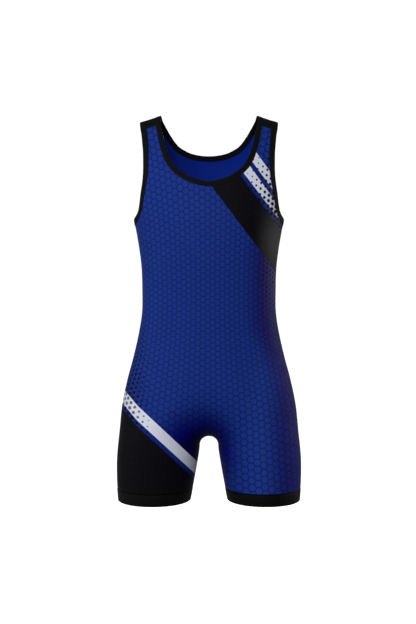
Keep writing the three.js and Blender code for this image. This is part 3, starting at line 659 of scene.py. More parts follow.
def shoulder_piece(name, sign):
    place, normal = chart_surface(ruled_rows(lapped(shoulder_neck), lapped(shoulder_arm), SHOULDER_COLUMNS))
    maps = {"cloth": lengths_of(place)}
    flip = np.array([sign, 1, 1])
    grid = dict(place=(place * flip).reshape(-1, 3), normal=(normal * flip).reshape(-1, 3),
                quads=grid_quads(np.arange(place[..., 0].size).reshape(place.shape[:2])))
    return shell(name, facing_out(grid), SHOULDER_CLOTH_WALL, maps)


shoulder_cloths = {side: shoulder_piece(f"shoulder_cloth_{side}", sign) for side, sign in LEFT_AND_RIGHT}
print("shoulder pieces", [round(o.dimensions.y / MM) for o in shoulder_cloths.values()], "mm long")

# %% [markdown]
# ## Bindings and leg bands
# A binding is a strip of knit folded over the raw edge and stitched down, so its edge is round and its
# inner side lies a little proud of the panel. It is a profile carried along the edge: the profile says
# how far in from the edge each point lies, and how far out from the worn surface.

# %% Binding profile
def folded_profile(thickness, step):
    """Across: 0 at the seam, 1 at the free edge. Out: half the thickness, a half circle at the free
    edge, a shallow groove where the stitching pulls the fold down, and a low step at the seam."""
    w = np.linspace(-0.05, 0.93, 15)
    groove = 0.32 * np.exp(-((w - 0.17) / 0.055) ** 2) + 0.22 * np.exp(-((w - 0.42) / 0.07) ** 2)
    crown = thickness / 2 * (0.9 + 0.16 * np.sin(np.pi * np.clip(w, 0, 1)) ** 2) - groove
    rise = ease((w + 0.05) / 0.07)
    out = step * (1 - rise) + crown * rise
    turn = np.linspace(80, -80, 7) * np.pi / 180
    fold_w, fold_out = 0.94 + 0.06 * np.cos(turn), thickness / 2 * 0.86 * np.sin(turn)
    inside = -thickness / 2 * 0.78 * np.ones(8)
    return np.concatenate([w, fold_w, np.linspace(0.9, -0.05, 8)]), np.concatenate([out, fold_out, inside])


def closed_tube(name, verts, first_line, spread, sign):
    """Profiles joined in a ring, each a closed line. The UV map is the length along the first line and
    the spread over the profile."""
    ids = np.arange(verts[..., 0].size).reshape(verts.shape[:2])
    next_row = np.roll(ids, -1, 0)
    quads = np.stack([ids, np.roll(ids, -1, 1), np.roll(next_row, -1, 1), next_row], -1).reshape(-1, 4)
    uv = np.stack(np.broadcast_arrays(run_length(first_line)[:, None], spread), -1)
    verts = verts.reshape(-1, 3) * [sign, 1, 1]
    quads = tube_facing_out(verts, quads)
    return new_object(name, verts, quads, {"cloth": uv.reshape(-1, 2) * MM}, np.zeros(len(quads)))


def carried(name, seam_chart, free_chart, width, thickness, closed_mirror, sign=1):
    """The profile carried along an edge. Each station mixes the seam and the free edge on the chart,
    and the place there is moved out along the surface's normal."""
    across, out = folded_profile(thickness, 0.1)
    chart = seam_chart[:, None] + (free_chart - seam_chart)[:, None] * np.clip(across, 0, 1)[None, :, None]
    place, normal = chart_surface(chart)
    outward = unit(place[:, 0] - place[:, 14])[:, None] * np.maximum(0, -across)[None, :, None] * width
    verts = place + outward + normal * out[None, :, None]
    if closed_mirror:
        verts = np.concatenate([verts, verts[1:-1][::-1] * MIRROR])
    return closed_tube(name, verts, verts[:, 0], across * width, sign)


def round_stations(stations_of, over_shoulder):
    return np.concatenate([stations_of(False), over_shoulder[1:-1], stations_of(True)[::-1]])


neck_lengths = round_stations(neck_stations, shoulder_neck)
arm_lengths = round_stations(arm_stations, shoulder_arm)
BINDING_FOLD = 2.6
neck_cloth = carried("neck_binding_cloth", neck_seam(neck_lengths), neck_free(neck_lengths),
                     NECK_BINDING_WIDTH, BINDING_FOLD, True)
arm_seam_chart, arm_free_chart = arm_seam(arm_lengths)[:-1], arm_free(arm_lengths)[:-1]
arm_cloths = {
    side: carried(f"armhole_binding_cloth_{side}", arm_seam_chart, arm_free_chart,
                  ARM_BINDING_WIDTH, BINDING_FOLD, False, sign)
    for side, sign in LEFT_AND_RIGHT
}
print("binding faces", len(neck_cloth.data.polygons), [len(o.data.polygons) for o in arm_cloths.values()])


# %% Leg bands
BAND_WALL = 2.3
TWIN_NEEDLE = (2.6, 6.0)


def leg_ring(z):
    """One level ring round a leg, from the inside seam over the front to the side seam and back."""
    one = np.array([float(z)])
    parts = []
    for back in (False, True):
        x, heights, seam = level_rows(arch_half_width(one), one, one, back, np.array([True]))
        parts.append(surface(x[0], heights[0], back, seam[0]))
    place = np.concatenate([parts[0][0], parts[1][0][1:-1][::-1]])
    return place, np.concatenate([parts[0][1], parts[1][1][1:-1][::-1]])


def band_profile():
    """Height up the band and distance out: a round fold at the hem, flat sides, a groove where the
    band is stitched near its top, and a low step onto the panel."""
    height = LEG_BAND_TOP - HEM
    up = np.linspace(1.3, height + 1.2, 14)
    groove = 0.3 * sum(np.exp(-((up - height + drop) / 0.9) ** 2) for drop in TWIN_NEEDLE)
    step = ease((height + 1.2 - up) / 1.6)
    out = (BAND_WALL / 2 - groove) * step + 0.1 * (1 - step)
    turn = np.linspace(-70, 70, 7) * np.pi / 180
    fold_up, fold_out = 1.2 - 1.2 * np.cos(turn), BAND_WALL / 2 * np.sin(turn)
    inner_up = np.linspace(height + 1.2, 2.5, 7)
    return (np.concatenate([inner_up, fold_up, up]),
            np.concatenate([np.full(7, -BAND_WALL / 2), fold_out, out]))


def leg_band(name, sign):
    up, out = band_profile()
    rings = [leg_ring(HEM + u) for u in up]
    place = np.stack([ring[0] for ring in rings], 1)
    normal = np.stack([ring[1] for ring in rings], 1)
    return closed_tube(name, place + normal * out[None, :, None], place[:, 0], up, sign)


band_cloths = {side: leg_band(f"leg_band_cloth_{side}", sign) for side, sign in LEFT_AND_RIGHT}
print("band height", round(band_cloths["left"].dimensions.z * 1000, 1), "mm")

# %% [markdown]
# ## Seams and topstitching
# The raw edges are joined by machine: a flat zigzag lies over each side seam and inside leg seam, and
# straight topstitching holds the folds of the bindings and bands down. One thread stroke is a short
# tube with closed ends. Thousands of them as objects would be slow, so each row is one joined mesh.

# %% Thread strokes
STROKE_SIDES = 6


def stroke_profile():
    """One stroke of unit length: rings of six points whose radius rises and falls like a half sine, so
    that both ends dip into the cloth."""
    t = np.array([0.0, 0.12, 0.35, 0.65, 0.88, 1.0])
    radius = np.array([0.35, 0.8, 1.0, 1.0, 0.8, 0.35])
    turn = np.arange(STROKE_SIDES) * 2 * np.pi / STROKE_SIDES
    return t, radius[:, None] * np.cos(turn), radius[:, None] * np.sin(turn)


def thread_row(name, starts, ends, normals, radius, lift=0.35, bow=0.3):
    """All strokes of a row at once: each point is the start, plus its share of the way to the end,
    plus the ring's offsets across and out. The middle stands out of the cloth by the bow."""
    t, ring_x, ring_y = stroke_profile()
    along = ends - starts
    across = unit(np.cross(along, normals))
    out = unit(np.cross(across, along))
    arch = lift - bow * (2 * t - 1) ** 2
    centre = starts[:, None] + along[:, None] * t[None, :, None]
    centre = centre + out[:, None] * (arch * radius * 2)[None, :, None]
    verts = (centre[:, :, None] + across[:, None, None] * (ring_x * radius)[None, :, :, None]
             + out[:, None, None] * (ring_y * radius)[None, :, :, None])
    count, rings = verts.shape[:2]
    ids = np.arange(count * rings * STROKE_SIDES).reshape(count, rings, STROKE_SIDES)
    turned = np.roll(ids, -1, 2)
    sides = np.stack([ids[:, :-1], turned[:, :-1], turned[:, 1:], ids[:, 1:]], -1).reshape(-1, 4)
    first, last = ids[:, 0], ids[:, -1]
    cap_orders = ((first, (0, 3, 2, 1)), (first, (0, 5, 4, 3)), (last, (0, 1, 2, 3)), (last, (0, 3, 4, 5)))
    caps = [cap[:, list(order)] for cap, order in cap_orders]
    quads = np.concatenate([sides, *caps])
    flat = verts.reshape(-1, 3)
    uv = np.stack([np.broadcast_to(t[None, :, None], verts.shape[:3]), np.zeros(verts.shape[:3])], -1)
    quads = tube_facing_out(flat, quads)
    return new_object(name, flat, quads, {"cloth": uv.reshape(-1, 2)}, np.zeros(len(quads)))


def evenly(place, normal, pitch):
    """Points at equal steps along a line, with the normals there."""
    travelled = run_length(place)
    at = np.linspace(0, travelled[-1], int(round(travelled[-1] / pitch)) + 1)
    return (np.stack([np.interp(at, travelled, place[:, k]) for k in range(3)], -1),
            unit(np.stack([np.interp(at, travelled, normal[:, k]) for k in range(3)], -1)))


def running(line, pitch, out, fill=0.82):
    """Straight topstitching: a stroke over most of every step of the line."""
    place, normal = evenly(line[0], line[1], pitch)
    place = place + normal * out
    return place[:-1], place[:-1] + (place[1:] - place[:-1]) * fill, normal[:-1]


def zigzag(line, pitch, reach, out):
    """A flat seam: strokes that cross the line from side to side, each a pitch further on."""
    place, normal = evenly(line[0], line[1], pitch)
    along = unit(np.gradient(place, axis=0))
    side = unit(np.cross(along, normal)) * reach
    place = place + normal * out
    swing = np.where(np.arange(len(place)) % 2 == 0, 1.0, -1.0)[:, None]
    points = place + side * swing
    return points[:-1], points[1:], normal[:-1]


def edge_line(seam_curve, free_curve, total, share, mirrored):
    """A line a share of the way from the seam to the free edge, closed round by its mirror image."""
    s = np.linspace(0, total, 500)
    place, normal = chart_surface(seam_curve(s) * (1 - share) + free_curve(s) * share)
    if mirrored:
        place = np.concatenate([place, place[::-1][1:] * MIRROR])
        normal = np.concatenate([normal, normal[::-1][1:] * MIRROR])
    return place, normal


THREAD, SEAM_THREAD = 0.26, 0.24
STITCH, SEAM_PITCH, SEAM_REACH = 2.6, 1.5, 2.2
neck_line = edge_line(neck_seam, neck_free, neck_total, 0.17, True)
arm_line = edge_line(arm_seam, arm_free, arm_total, 0.17, False)
NECK_STITCH_OUT, BAND_STITCH_OUT = 0.86, 0.8
neck_stitches = thread_row("neck_topstitching", *running(neck_line, STITCH, NECK_STITCH_OUT), THREAD)
left_strokes = running(arm_line, STITCH, NECK_STITCH_OUT)
arm_stitches = {
    "left": thread_row("armhole_topstitching_left", *left_strokes, THREAD),
    "right": thread_row("armhole_topstitching_right", *[part * MIRROR for part in left_strokes], THREAD),
}


def band_rows(name, sign):
    """Two rows of topstitching round a leg band, as wide apart as a twin needle's."""
    rows = []
    for drop in TWIN_NEEDLE:
        place, normal = leg_ring(LEG_BAND_TOP - drop)
        place, normal = np.concatenate([place, place[:1]]), np.concatenate([normal, normal[:1]])
        rows.append(running((place, normal), STITCH, BAND_STITCH_OUT))
    starts, ends, normals = (np.concatenate(part) * [sign, 1, 1] for part in zip(*rows))
    return thread_row(name, starts, ends, normals, THREAD)


band_stitches = {side: band_rows(f"band_topstitching_{side}", sign) for side, sign in LEFT_AND_RIGHT}


def side_seam_line():
    z = np.linspace(float(chart_place(*arm_seam(0.0))[1]) - 1, LEG_BAND_TOP + 1, 400)
    return surface(section_at(z)[:, 0], z, False, True)


def inseam_line():
    """From the left hem up the inside of the leg, over the arch between the legs, and down the right."""
    leg_z = np.linspace(LEG_BAND_TOP + 1, ARCH_CENTRE_Z, 60)
    angle = QUARTER * np.linspace(0, 1, 40)[1:]
    x = np.concatenate([arch_half_width(leg_z), ARCH_RADIUS * np.cos(angle)])
    z = np.concatenate([leg_z, ARCH_CENTRE_Z + ARCH_RADIUS * np.sin(angle)])
    x[-1], z[-1] = 0, CROTCH_Z
    place, normal = surface(x, z, False, True)
    level = np.clip((z - ARCH_CENTRE_Z) / ARCH_RADIUS, 0, 1)
    normal = unit(np.stack([-np.sqrt(1 - level * level), 0 * z, -level], -1))
    place = np.concatenate([place, place[::-1][1:] * MIRROR])
    return place, np.concatenate([normal, normal[::-1][1:] * MIRROR])


left_seam = zigzag(side_seam_line(), SEAM_PITCH, SEAM_REACH, PANEL_WALL / 2)
seam_threads = {
    "left": thread_row("side_seam_threads_left", *left_seam, SEAM_THREAD),
    "right": thread_row("side_seam_threads_right", *[part * MIRROR for part in left_seam], SEAM_THREAD),
}
inseam_strokes = zigzag(inseam_line(), SEAM_PITCH, SEAM_REACH, PANEL_WALL / 2)
inseam_threads = thread_row("inseam_threads", *inseam_strokes, SEAM_THREAD)


def join_line(back):
    """The seam between a strap and the shoulder piece, on the left."""
    lengths = STATIONS[back]
    inner, outer = neck_seam(lengths["neck_top"]), arm_seam(lengths["arm_top"])
    return chart_surface(inner + (outer - inner) * np.linspace(0.02, 0.98, 40)[:, None])


joins = [zigzag(join_line(back), SEAM_PITCH, 2.0, SHOULDER_CLOTH_WALL / 2) for back in (False, True)]
join_parts = [np.concatenate(part) for part in zip(*joins)]
shoulder_threads = {
    "left": thread_row("shoulder_seam_threads_left", *join_parts, SEAM_THREAD),
    "right": thread_row("shoulder_seam_threads_right", *[part * MIRROR for part in join_parts], SEAM_THREAD),
}
print("faces of thread: neck", len(neck_stitches.data.polygons), "inseam", len(inseam_threads.data.polygons))

# %% [markdown]
# ## Numbers and colours in a shader
# The print is procedural, which takes a lot of arithmetic. Linking Math nodes by hand would bury it, so
# one small class lets a socket be added, multiplied and compared as a number is in Python.

# %% Node helpers
def feed(tree, socket, value):
    if isinstance(value, Number):
        tree.links.new(value.socket, socket)
    elif hasattr(value, "is_output"):
        tree.links.new(value, socket)
    else:
        socket.default_value = value


class Number:
    """A number in a node tree. Each sum, product or comparison adds one Math node."""

    def __init__(self, tree, socket):
        self.tree, self.socket = tree, socket

    def math(self, operation, *values):
        made = self.tree.nodes.new("ShaderNodeMath")
        made.operation = operation
        for socket, value in zip(made.inputs, values):
            feed(self.tree, socket, value)
        return Number(self.tree, made.outputs[0])

    def __add__(self, other):
        return self.math("ADD", self, other)

    def __sub__(self, other):
        return self.math("SUBTRACT", self, other)

    def __rsub__(self, other):
        return self.math("SUBTRACT", other, self)

    def __mul__(self, other):
        return self.math("MULTIPLY", self, other)

    def __truediv__(self, other):
        return self.math("DIVIDE", self, other)

    def __rtruediv__(self, other):
        return self.math("DIVIDE", other, self)

    def __neg__(self):
        return self.math("MULTIPLY", self, -1.0)

    def __abs__(self):
        return self.math("ABSOLUTE", self)

    __radd__, __rmul__ = __add__, __mul__

    def nearest(self):
        return self.math("ROUND", self)

    def sine(self):
        return self.math("SINE", self)

    def least(self, other):
        return self.math("MINIMUM", self, other)

    def most(self, other):
        return self.math("MAXIMUM", self, other)

    def root(self):
        return self.math("SQRT", self)

    def rising(self, low, high):
        """From 0 at low to 1 at high, eased at both ends."""
        made = self.tree.nodes.new("ShaderNodeMapRange")
        made.interpolation_type = "SMOOTHSTEP"
        feed(self.tree, made.inputs["Value"], self)
        made.inputs["From Min"].default_value, made.inputs["From Max"].default_value = low, high
        return Number(self.tree, made.outputs["Result"])


def paint(red, green, blue, light=1.0):
    """A screen colour as the linear colour a shader wants, divided by how strongly it is lit."""
    screen = np.array([red, green, blue]) / 255
    linear = np.where(screen <= 0.04045, screen / 12.92, ((screen + 0.055) / 1.055) ** 2.4)
    return (*[float(v) for v in np.clip(linear / light, 0, 1)], 1.0)


class Finish:
    """One material. Every node but the Math nodes comes from the method named node."""

    def __init__(self, name, **constants):
        self.material = bpy.data.materials.new(name)
        self.material.use_nodes = True
        self.tree = self.material.node_tree
        self.shader = self.tree.nodes["Principled BSDF"]
        for key, value in constants.items():
            self.shader.inputs[key.replace("_", " ")].default_value = value

    def node(self, kind, settings=None, sockets=None):
        made = self.tree.nodes.new(kind)
        for key, value in (settings or {}).items():
            setattr(made, key, value)
        for key, value in (sockets or {}).items():
            feed(self.tree, made.inputs[key], value)
        return made

    def number(self, socket):
        return Number(self.tree, socket)

    def mix(self, share, first, second):
        return self.node("ShaderNodeMix", {"data_type": "RGBA"}, {0: share, 6: first, 7: second}).outputs[2]

    def split(self, vector, count=3):
        parts = self.node("ShaderNodeSeparateXYZ", None, {0: vector})
        return [self.number(parts.outputs[k]) for k in range(count)]

    def object_mm(self):
        return [part * 1000.0 for part in self.split(self.node("ShaderNodeTexCoord").outputs["Object"])]

    def map(self, name, scale=1.0):
        uv = self.node("ShaderNodeUVMap", {"uv_map": name}).outputs["UV"]
        return [part * scale for part in self.split(uv, 2)]

    def noise(self, scale, detail=3.0):
        where = self.node("ShaderNodeTexCoord").outputs["Object"]
        made = self.node("ShaderNodeTexNoise", None, {"Vector": where, "Scale": scale, "Detail": detail})
        return self.number(made.outputs["Fac"])

    def knit_height(self, u, v, wale, course):
        """Jersey knit: columns of small arrowheads. Each row's wave is shifted by the distance from
        its column's middle, and falls away in the furrow between two columns."""
        column = u / wale
        off = abs(column - column.nearest())
        wave = ((v / course + off * 1.1) * (2 * math.pi)).sine()
        return wave * 0.5 - off * off * 5.0

    def bump(self, height, strength, distance):
        made = self.node("ShaderNodeBump", None, {"Height": height})
        made.inputs["Strength"].default_value = strength
        made.inputs["Distance"].default_value = distance
        return made.outputs["Normal"]

    def finish(self, colour, roughness=None, normal=None):
        feed(self.tree, self.shader.inputs["Base Color"], colour)
        if roughness is not None:
            feed(self.tree, self.shader.inputs["Roughness"], roughness)
        if normal is not None:
            feed(self.tree, self.shader.inputs["Normal"], normal)
        return self.material


print("white paint", [round(v, 3) for v in paint(200, 204, 216)])

# %% [markdown]
# ## The print
# The knit is dyed by heat transfer: a fine honeycomb in two blues, a black diagonal with two white
# stripes beside it at one shoulder, and a white stripe over a black leg on the other side. Dots break
# the colours up towards the side seams, larger the nearer they come. A stripe is all the cloth between
# two slanted planes, so that front and back agree at the seams.

# %% Print colours, with painted shade, light and sheen
LIGHT = 0.86
HEX_BLUE, LINE_BLUE = paint(21, 45, 123, LIGHT), paint(10, 30, 90, LIGHT)
PLAIN_BLUE = paint(12, 34, 110, LIGHT)
WHITE, BLACK = paint(198, 202, 216, LIGHT), paint(8, 8, 12, LIGHT)
# The second colour is a painted sheen: the grey that the black takes under the arm at the wearer's left
# side.
FAINT_NAVY, SHEEN_ON_BLACK = paint(14, 15, 42, LIGHT), paint(54, 54, 55, LIGHT)
# Painted light: a lighter blue and a lighter line where light falls on the outer leg.
LIT_LEG_BLUE, LIT_LEG_LINE = paint(27, 52, 131, LIGHT), paint(15, 36, 98, LIGHT)
# A painted sheen of grey for the wearer's left waist, and black for painted shadow at the arch and the band
# tops.
WAIST_SHEEN_GREY, SEAM_SHADOW = paint(86, 78, 136, LIGHT), paint(0, 0, 0, LIGHT)
# Painted shade: a darker violet for the ground towards the wearer's left side seam.
SIDE_SHADE_VIOLET, SIDE_SHADE_LINE = paint(20, 4, 92, LIGHT), paint(12, 2, 58, LIGHT)
# Painted shade: a dark violet for the ground round the arch between the legs.
ARCH_SHADE_VIOLET, ARCH_SHADE_LINE = paint(3, 0, 106, LIGHT), paint(3, 2, 56, LIGHT)


ROOT_3 = math.sqrt(3)


def honeycomb_line(finish):
    """Cells of six sides, as two interlocked grids. The distance from a cell's middle is the larger of
    the upright part and the slanted part, and the lesser of the two grids counts."""
    across, up = finish.map("honeycomb")
    distances = []
    for shift_across, shift_up in ((0.0, 0.0), (1.0, 0.5)):
        a = (across + shift_across) / 2.0
        b = up + shift_up
        px = abs(a - a.nearest()) * ROOT_3
        py = abs(b - b.nearest())
        distances.append(py.most(px * (ROOT_3 / 2) + py * 0.5))
    return distances[0].least(distances[1]).rising(0.36, 0.47)


CELL_SIZE = 11.3, 13.0


def lattice_distance(u, v, phase, first, second):
    """Distance in millimetres to the nearest point of a slanted grid of dots, laid out in cells of the
    honeycomb: the place is so many first steps and so many second steps, less the phase, and what is
    over a whole number of each counts."""
    (ax, ay), (bx, by) = first, second
    scale = ax * by - ay * bx
    a = (u * by - v * bx) / scale - phase[0]
    b = (v * ax - u * ay) / scale - phase[1]
    a, b = a - a.nearest(), b - b.nearest()
    dx, dy = (a * ax + b * bx) * CELL_SIZE[0], (a * ay + b * by) * CELL_SIZE[1]
    return (dx * dx + dy * dy).root()


def below(place, plane, soft=0.35):
    """One below a slanted plane, zero above it, with a soft edge a third of a millimetre wide."""
    across, deep, level = plane
    x, y, z = place
    return (level + x * across + y * deep - z).rising(-soft, soft)


def between(place, low, high):
    return below(place, high) * (1.0 - below(place, low))


# Edges of the stripes, as planes: slope across, slope to the back, and height at the origin.
BLACK_LOW, BLACK_HIGH = (-1.3246, 0.1318, -127.5), (-1.3372, 0.1823, -26.4)
STRIPE_LOW, STRIPE_HIGH = (-1.3103, 0.1881, -14.8), (-1.3907, 0.2070, 23.0)
STRAP_STRIPE_LOW, STRAP_STRIPE_HIGH = (-1.3642, 0.2136, 36.2), (-1.3897, 0.2299, 68.8)
LEG_BLUE_LOW = (-0.9100, -0.1800, -757.5)
LEG_STRIPE_LOW, LEG_STRIPE_HIGH = (-0.9150, -0.1770, -746.5), (-0.9360, -0.1639, -718.8)


PANEL_KNIT = 0.62, 0.5
KNIT_DEPTH = 0.00012


def printed_cloth(name):
    """The print, from the ground up: honeycomb, painted shade and light, stripes, painted sheen, dots, and
    the black over them all.
    """
    finish = Finish(name, Sheen_Weight=0.04, Sheen_Roughness=0.3, Specular_IOR_Level=0.045)
    x, y, z = place = finish.object_mm()
    chest_side, hip_side = x.rising(-61.0, -59.0), 1.0 - x.rising(-61.0, -59.0)
    right_half = 1.0 - x.rising(-1.0, 1.0)
    u, v = finish.map("cloth", 1000.0)
    comb = finish.map("honeycomb")
    # The dots of the chest and of the hip are two grids. Each pair is a step in cells, the last a phase.
    to_chest_dot = lattice_distance(*comb, (-0.462, 0.352), (0.871, 0.340), (0.012, 0.826))
    to_hip_dot = lattice_distance(*comb, (0.028, -0.479), (0.858, 0.555), (-0.090, 0.857))
    to_dot = to_chest_dot * chest_side + to_hip_dot * hip_side

    # Painted shade and light: violet shade at the wearer's left side, light on the outer leg, shade at the
    # arch.
    outward = u - (1.0 - z.rising(-530.0, -400.0)) * 40.0
    side_shade = outward.rising(61.0, 119.0) * (1.0 - z.rising(-290.0, -215.0))
    side_shade = side_shade * (0.7 + z.rising(-680.0, -560.0) * 0.22)
    beside_arch = (x + 16.0) * (0.80 + x.rising(-16.0, 16.0) * 0.32)
    from_arch = (beside_arch * beside_arch + (z + 664.0) * (z + 664.0) * 0.95).root()
    arch_shade = 1.0 - from_arch.rising(34.0, 101.0)
    # Painted light: the ground turns lighter on the outer leg below the hip.
    lit_outer_leg = u.rising(58.0, 112.0) * (1.0 - z.rising(-540.0, -380.0))
    cell = finish.mix(side_shade, finish.mix(lit_outer_leg, HEX_BLUE, LIT_LEG_BLUE), SIDE_SHADE_VIOLET)
    line = finish.mix(side_shade, finish.mix(lit_outer_leg, LINE_BLUE, LIT_LEG_LINE), SIDE_SHADE_LINE)
    cell, line = finish.mix(arch_shade, cell, ARCH_SHADE_VIOLET), finish.mix(arch_shade, line, ARCH_SHADE_LINE)
    plain = finish.mix(side_shade, PLAIN_BLUE, SIDE_SHADE_VIOLET)
    colour = finish.mix(honeycomb_line(finish), cell, line)
    # Painted shadow: up to six tenths black just above the arch between the legs.
    colour = finish.mix((1.0 - from_arch.rising(18.0, 50.0)) * 0.6, colour, SEAM_SHADOW)

    # Dots: a radius for each place, which is nothing or less where there are none.
    lifted = (x, y, z - (-x - 140.0).most(0.0) * 0.25)
    chest_radius = (1.95 + (x - 100.0) * 0.036 - (z + 120.0) * 0.017).least(6.4) * chest_side
    waist_radius = (3.5 + (z + 320.0) * 0.0145).least(3.2) * u.rising(86.0, 114.0)
    in_black = below(place, BLACK_LOW, 1.0)
    left_radius = chest_radius * (1.0 - in_black) + waist_radius * in_black
    hip_radius = (2.1 + (-u - 128.0) * 0.06 - (z + 567.0) * 0.005).least(4.0)
    hip_radius = hip_radius - below(lifted, LEG_STRIPE_HIGH) * 0.2
    hip_radius = hip_radius * (-u).rising(104.0, 122.0) * (1.0 - z.rising(-415.0, -350.0))
    radius = left_radius.most(hip_radius)
    dots = (radius - to_dot).rising(-0.4, 0.4) * radius.rising(0.4, 0.9)

    # Stripes, laid over one another in the order in which they hide each other.
    stripes = between(place, STRIPE_LOW, STRIPE_HIGH)
    stripes = stripes.most(between(place, STRAP_STRIPE_LOW, STRAP_STRIPE_HIGH))
    beside = between(place, BLACK_HIGH, STRIPE_LOW)
    beside = beside.most(between(place, STRIPE_HIGH, STRAP_STRIPE_LOW))
    thin = (beside * chest_side).most(between(lifted, LEG_BLUE_LOW, LEG_STRIPE_LOW) * right_half)
    colour = finish.mix(thin, colour, plain)
    leg_white = between(lifted, LEG_STRIPE_LOW, LEG_STRIPE_HIGH) * right_half
    colour = finish.mix((stripes * chest_side).most(leg_white), colour, WHITE)
    # Painted sheen: grey laid over the wearer's left waist towards the side seam.
    waist_sheen = u.rising(98.0, 140.0) * z.rising(-420.0, -330.0) * (1.0 - z.rising(-165.0, -115.0))
    colour = finish.mix(waist_sheen * 0.4, colour, WAIST_SHEEN_GREY)
    colour = finish.mix(dots * (1.0 - leg_white * 0.2), colour, BLACK)
    black = between(place, BLACK_LOW, BLACK_HIGH) * chest_side
    black = black.most(below(lifted, LEG_BLUE_LOW) * right_half)
    faint = (1.5 - to_dot).rising(-0.5, 0.5) * 0.5
    # Painted sheen: the black under the wearer's left arm turns grey towards the side seam.
    black_sheen = u.rising(84.0, 138.0) * z.rising(-330.0, -250.0) * (1.0 - z.rising(-250.0, -172.0))
    ground = finish.mix(black_sheen, finish.mix(faint, BLACK, FAINT_NAVY), SHEEN_ON_BLACK)
    colour = finish.mix(black, colour, ground)
    # Painted shadow: a dark line on the panel just above the top of each leg band.
    colour = finish.mix(1.0 - z.rising(LEG_BAND_TOP + 2.6, LEG_BAND_TOP + 3.8), colour, SEAM_SHADOW)
    knit = finish.knit_height(u, v, *PANEL_KNIT)
    rough = 0.6 + (finish.noise(60.0) - 0.5) * 0.16
    return finish.finish(colour, rough, finish.bump(knit, 0.25, KNIT_DEPTH))


def inner_cloth(name):
    finish = Finish(name, Roughness=0.75, Sheen_Weight=0.01, Specular_IOR_Level=0.04)
    u, v = finish.map("cloth", 1000.0)
    shade = finish.noise(25.0)
    colour = finish.mix(shade, paint(8, 30, 118, LIGHT), paint(10, 38, 132, LIGHT))
    return finish.finish(colour, None, finish.bump(finish.knit_height(u, v, *PANEL_KNIT), 0.2, KNIT_DEPTH))


print_material, inner_material = printed_cloth("printed_knit_finish"), inner_cloth("blue_knit_inside")
for panel in (front_cloth, back_cloth):
    panel.data.materials.append(print_material)
    panel.data.materials.append(inner_material)
print("print nodes", len(print_material.node_tree.nodes))

# %% [markdown]
# ## Black trim
# Shoulder pieces, bindings and bands are black knit. They aren't one flat black: the fold is a ribbed
# strip whose fine ribs run across it, and the nap catches a little grey light where it turns away.

# %% Trim finishes
def black_cloth(name, base, wale, course, roughness, sheen):
    finish = Finish(name, Sheen_Weight=sheen, Sheen_Roughness=0.3, Specular_IOR_Level=0.06)
    u, v = finish.map("cloth", 1000.0)
    shade = finish.noise(90.0, 2.0)
    colour = finish.mix(shade, paint(*base, LIGHT), paint(*(level + 4 for level in base), LIGHT))
    rough = roughness + (shade - 0.5) * 0.2
    return finish.finish(colour, rough, finish.bump(finish.knit_height(u, v, wale, course), 0.35, 0.00015))


trim = {
    "black_knit": black_cloth("black_knit_finish", (9, 9, 11), 0.62, 0.5, 0.8, 0.0),
    "black_binding": black_cloth("black_binding_finish", (9, 9, 10), 0.9, 0.6, 0.75, 0.0),
    "black_band": black_cloth("black_band_finish", (5, 5, 5), 0.8, 0.9, 0.55, 0.03),
}


def thread_finish(name, base):
    """Spun thread: a fine slanted wave along each stroke for its twist."""
    finish = Finish(name, Roughness=0.5, Sheen_Weight=0.03, Specular_IOR_Level=0.08)
    u, _ = finish.map("cloth")
    twist = (u * 40.0).sine()
    lighter = paint(*(level + 5 for level in base), LIGHT)
    colour = finish.mix(twist * 0.5 + 0.5, paint(*base, LIGHT), lighter)
    return finish.finish(colour, None, finish.bump(twist, 0.2, 0.00005))


black_thread = thread_finish("black_thread", (13, 13, 14))
navy_thread = thread_finish("navy_thread", (16, 26, 74))
black_rows = [neck_stitches, *arm_stitches.values(), *band_stitches.values(), *shoulder_threads.values()]
dressed = {
    **{o: trim["black_knit"] for o in shoulder_cloths.values()},
    **{o: trim["black_binding"] for o in [neck_cloth, *arm_cloths.values()]},
    **{o: trim["black_band"] for o in band_cloths.values()},
    **{o: black_thread for o in black_rows},
    **{o: navy_thread for o in [*seam_threads.values(), inseam_threads]},
}
for piece, material in dressed.items():
    piece.data.materials.append(material)
for piece in shoulder_cloths.values():
    piece.data.materials.append(trim["black_knit"])
print("pieces with trim finishes", len(dressed))

# %% [markdown]
# ## Each piece on the garment's body
# Each piece rides on the garment's one body, and a piece that stands for a solid hides it. The cut of
# each panel is worked out and printed. The knit is stretched when worn, so a cut is the worn size over
# the stretch: about a tenth in width and a twentieth in length.

# %% Pieces on the body, and the panels' cuts
STRETCH_ROUND, STRETCH_ALONG = 1.10, 1.05


def half_area(piece):
    """Half the surface of a closed shell of cloth, which is the area of the cloth itself."""
    areas = np.zeros(len(piece.data.polygons))
    piece.data.polygons.foreach_get("area", areas)
    return float(areas.sum()) / 2


def panel_cut(grid, piece):
    """Widest and longest of the worn panel, over the stretch, and its area over both stretches."""
    place = grid["place"]
    widths = []
    for level in (-240, -400, -560):
        near = np.abs(place[:, 2] - level) < 4
        points = place[near][np.argsort(place[near][:, 0])]
        rows = np.linspace(points[0, 0], points[-1, 0], 60)
        depths = np.interp(rows, points[:, 0], points[:, 1])
        widths.append(np.hypot(np.diff(rows), np.diff(depths)).sum())
    width = max(widths) / STRETCH_ROUND * MM
    length = (place[:, 2].max() - place[:, 2].min()) * 1.04 / STRETCH_ALONG * MM
    return width, length, half_area(piece) / (STRETCH_ROUND * STRETCH_ALONG)


def whole_piece(piece, slot, *nodes):
    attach(piece, "root")
    if nodes:
        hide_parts(*nodes)


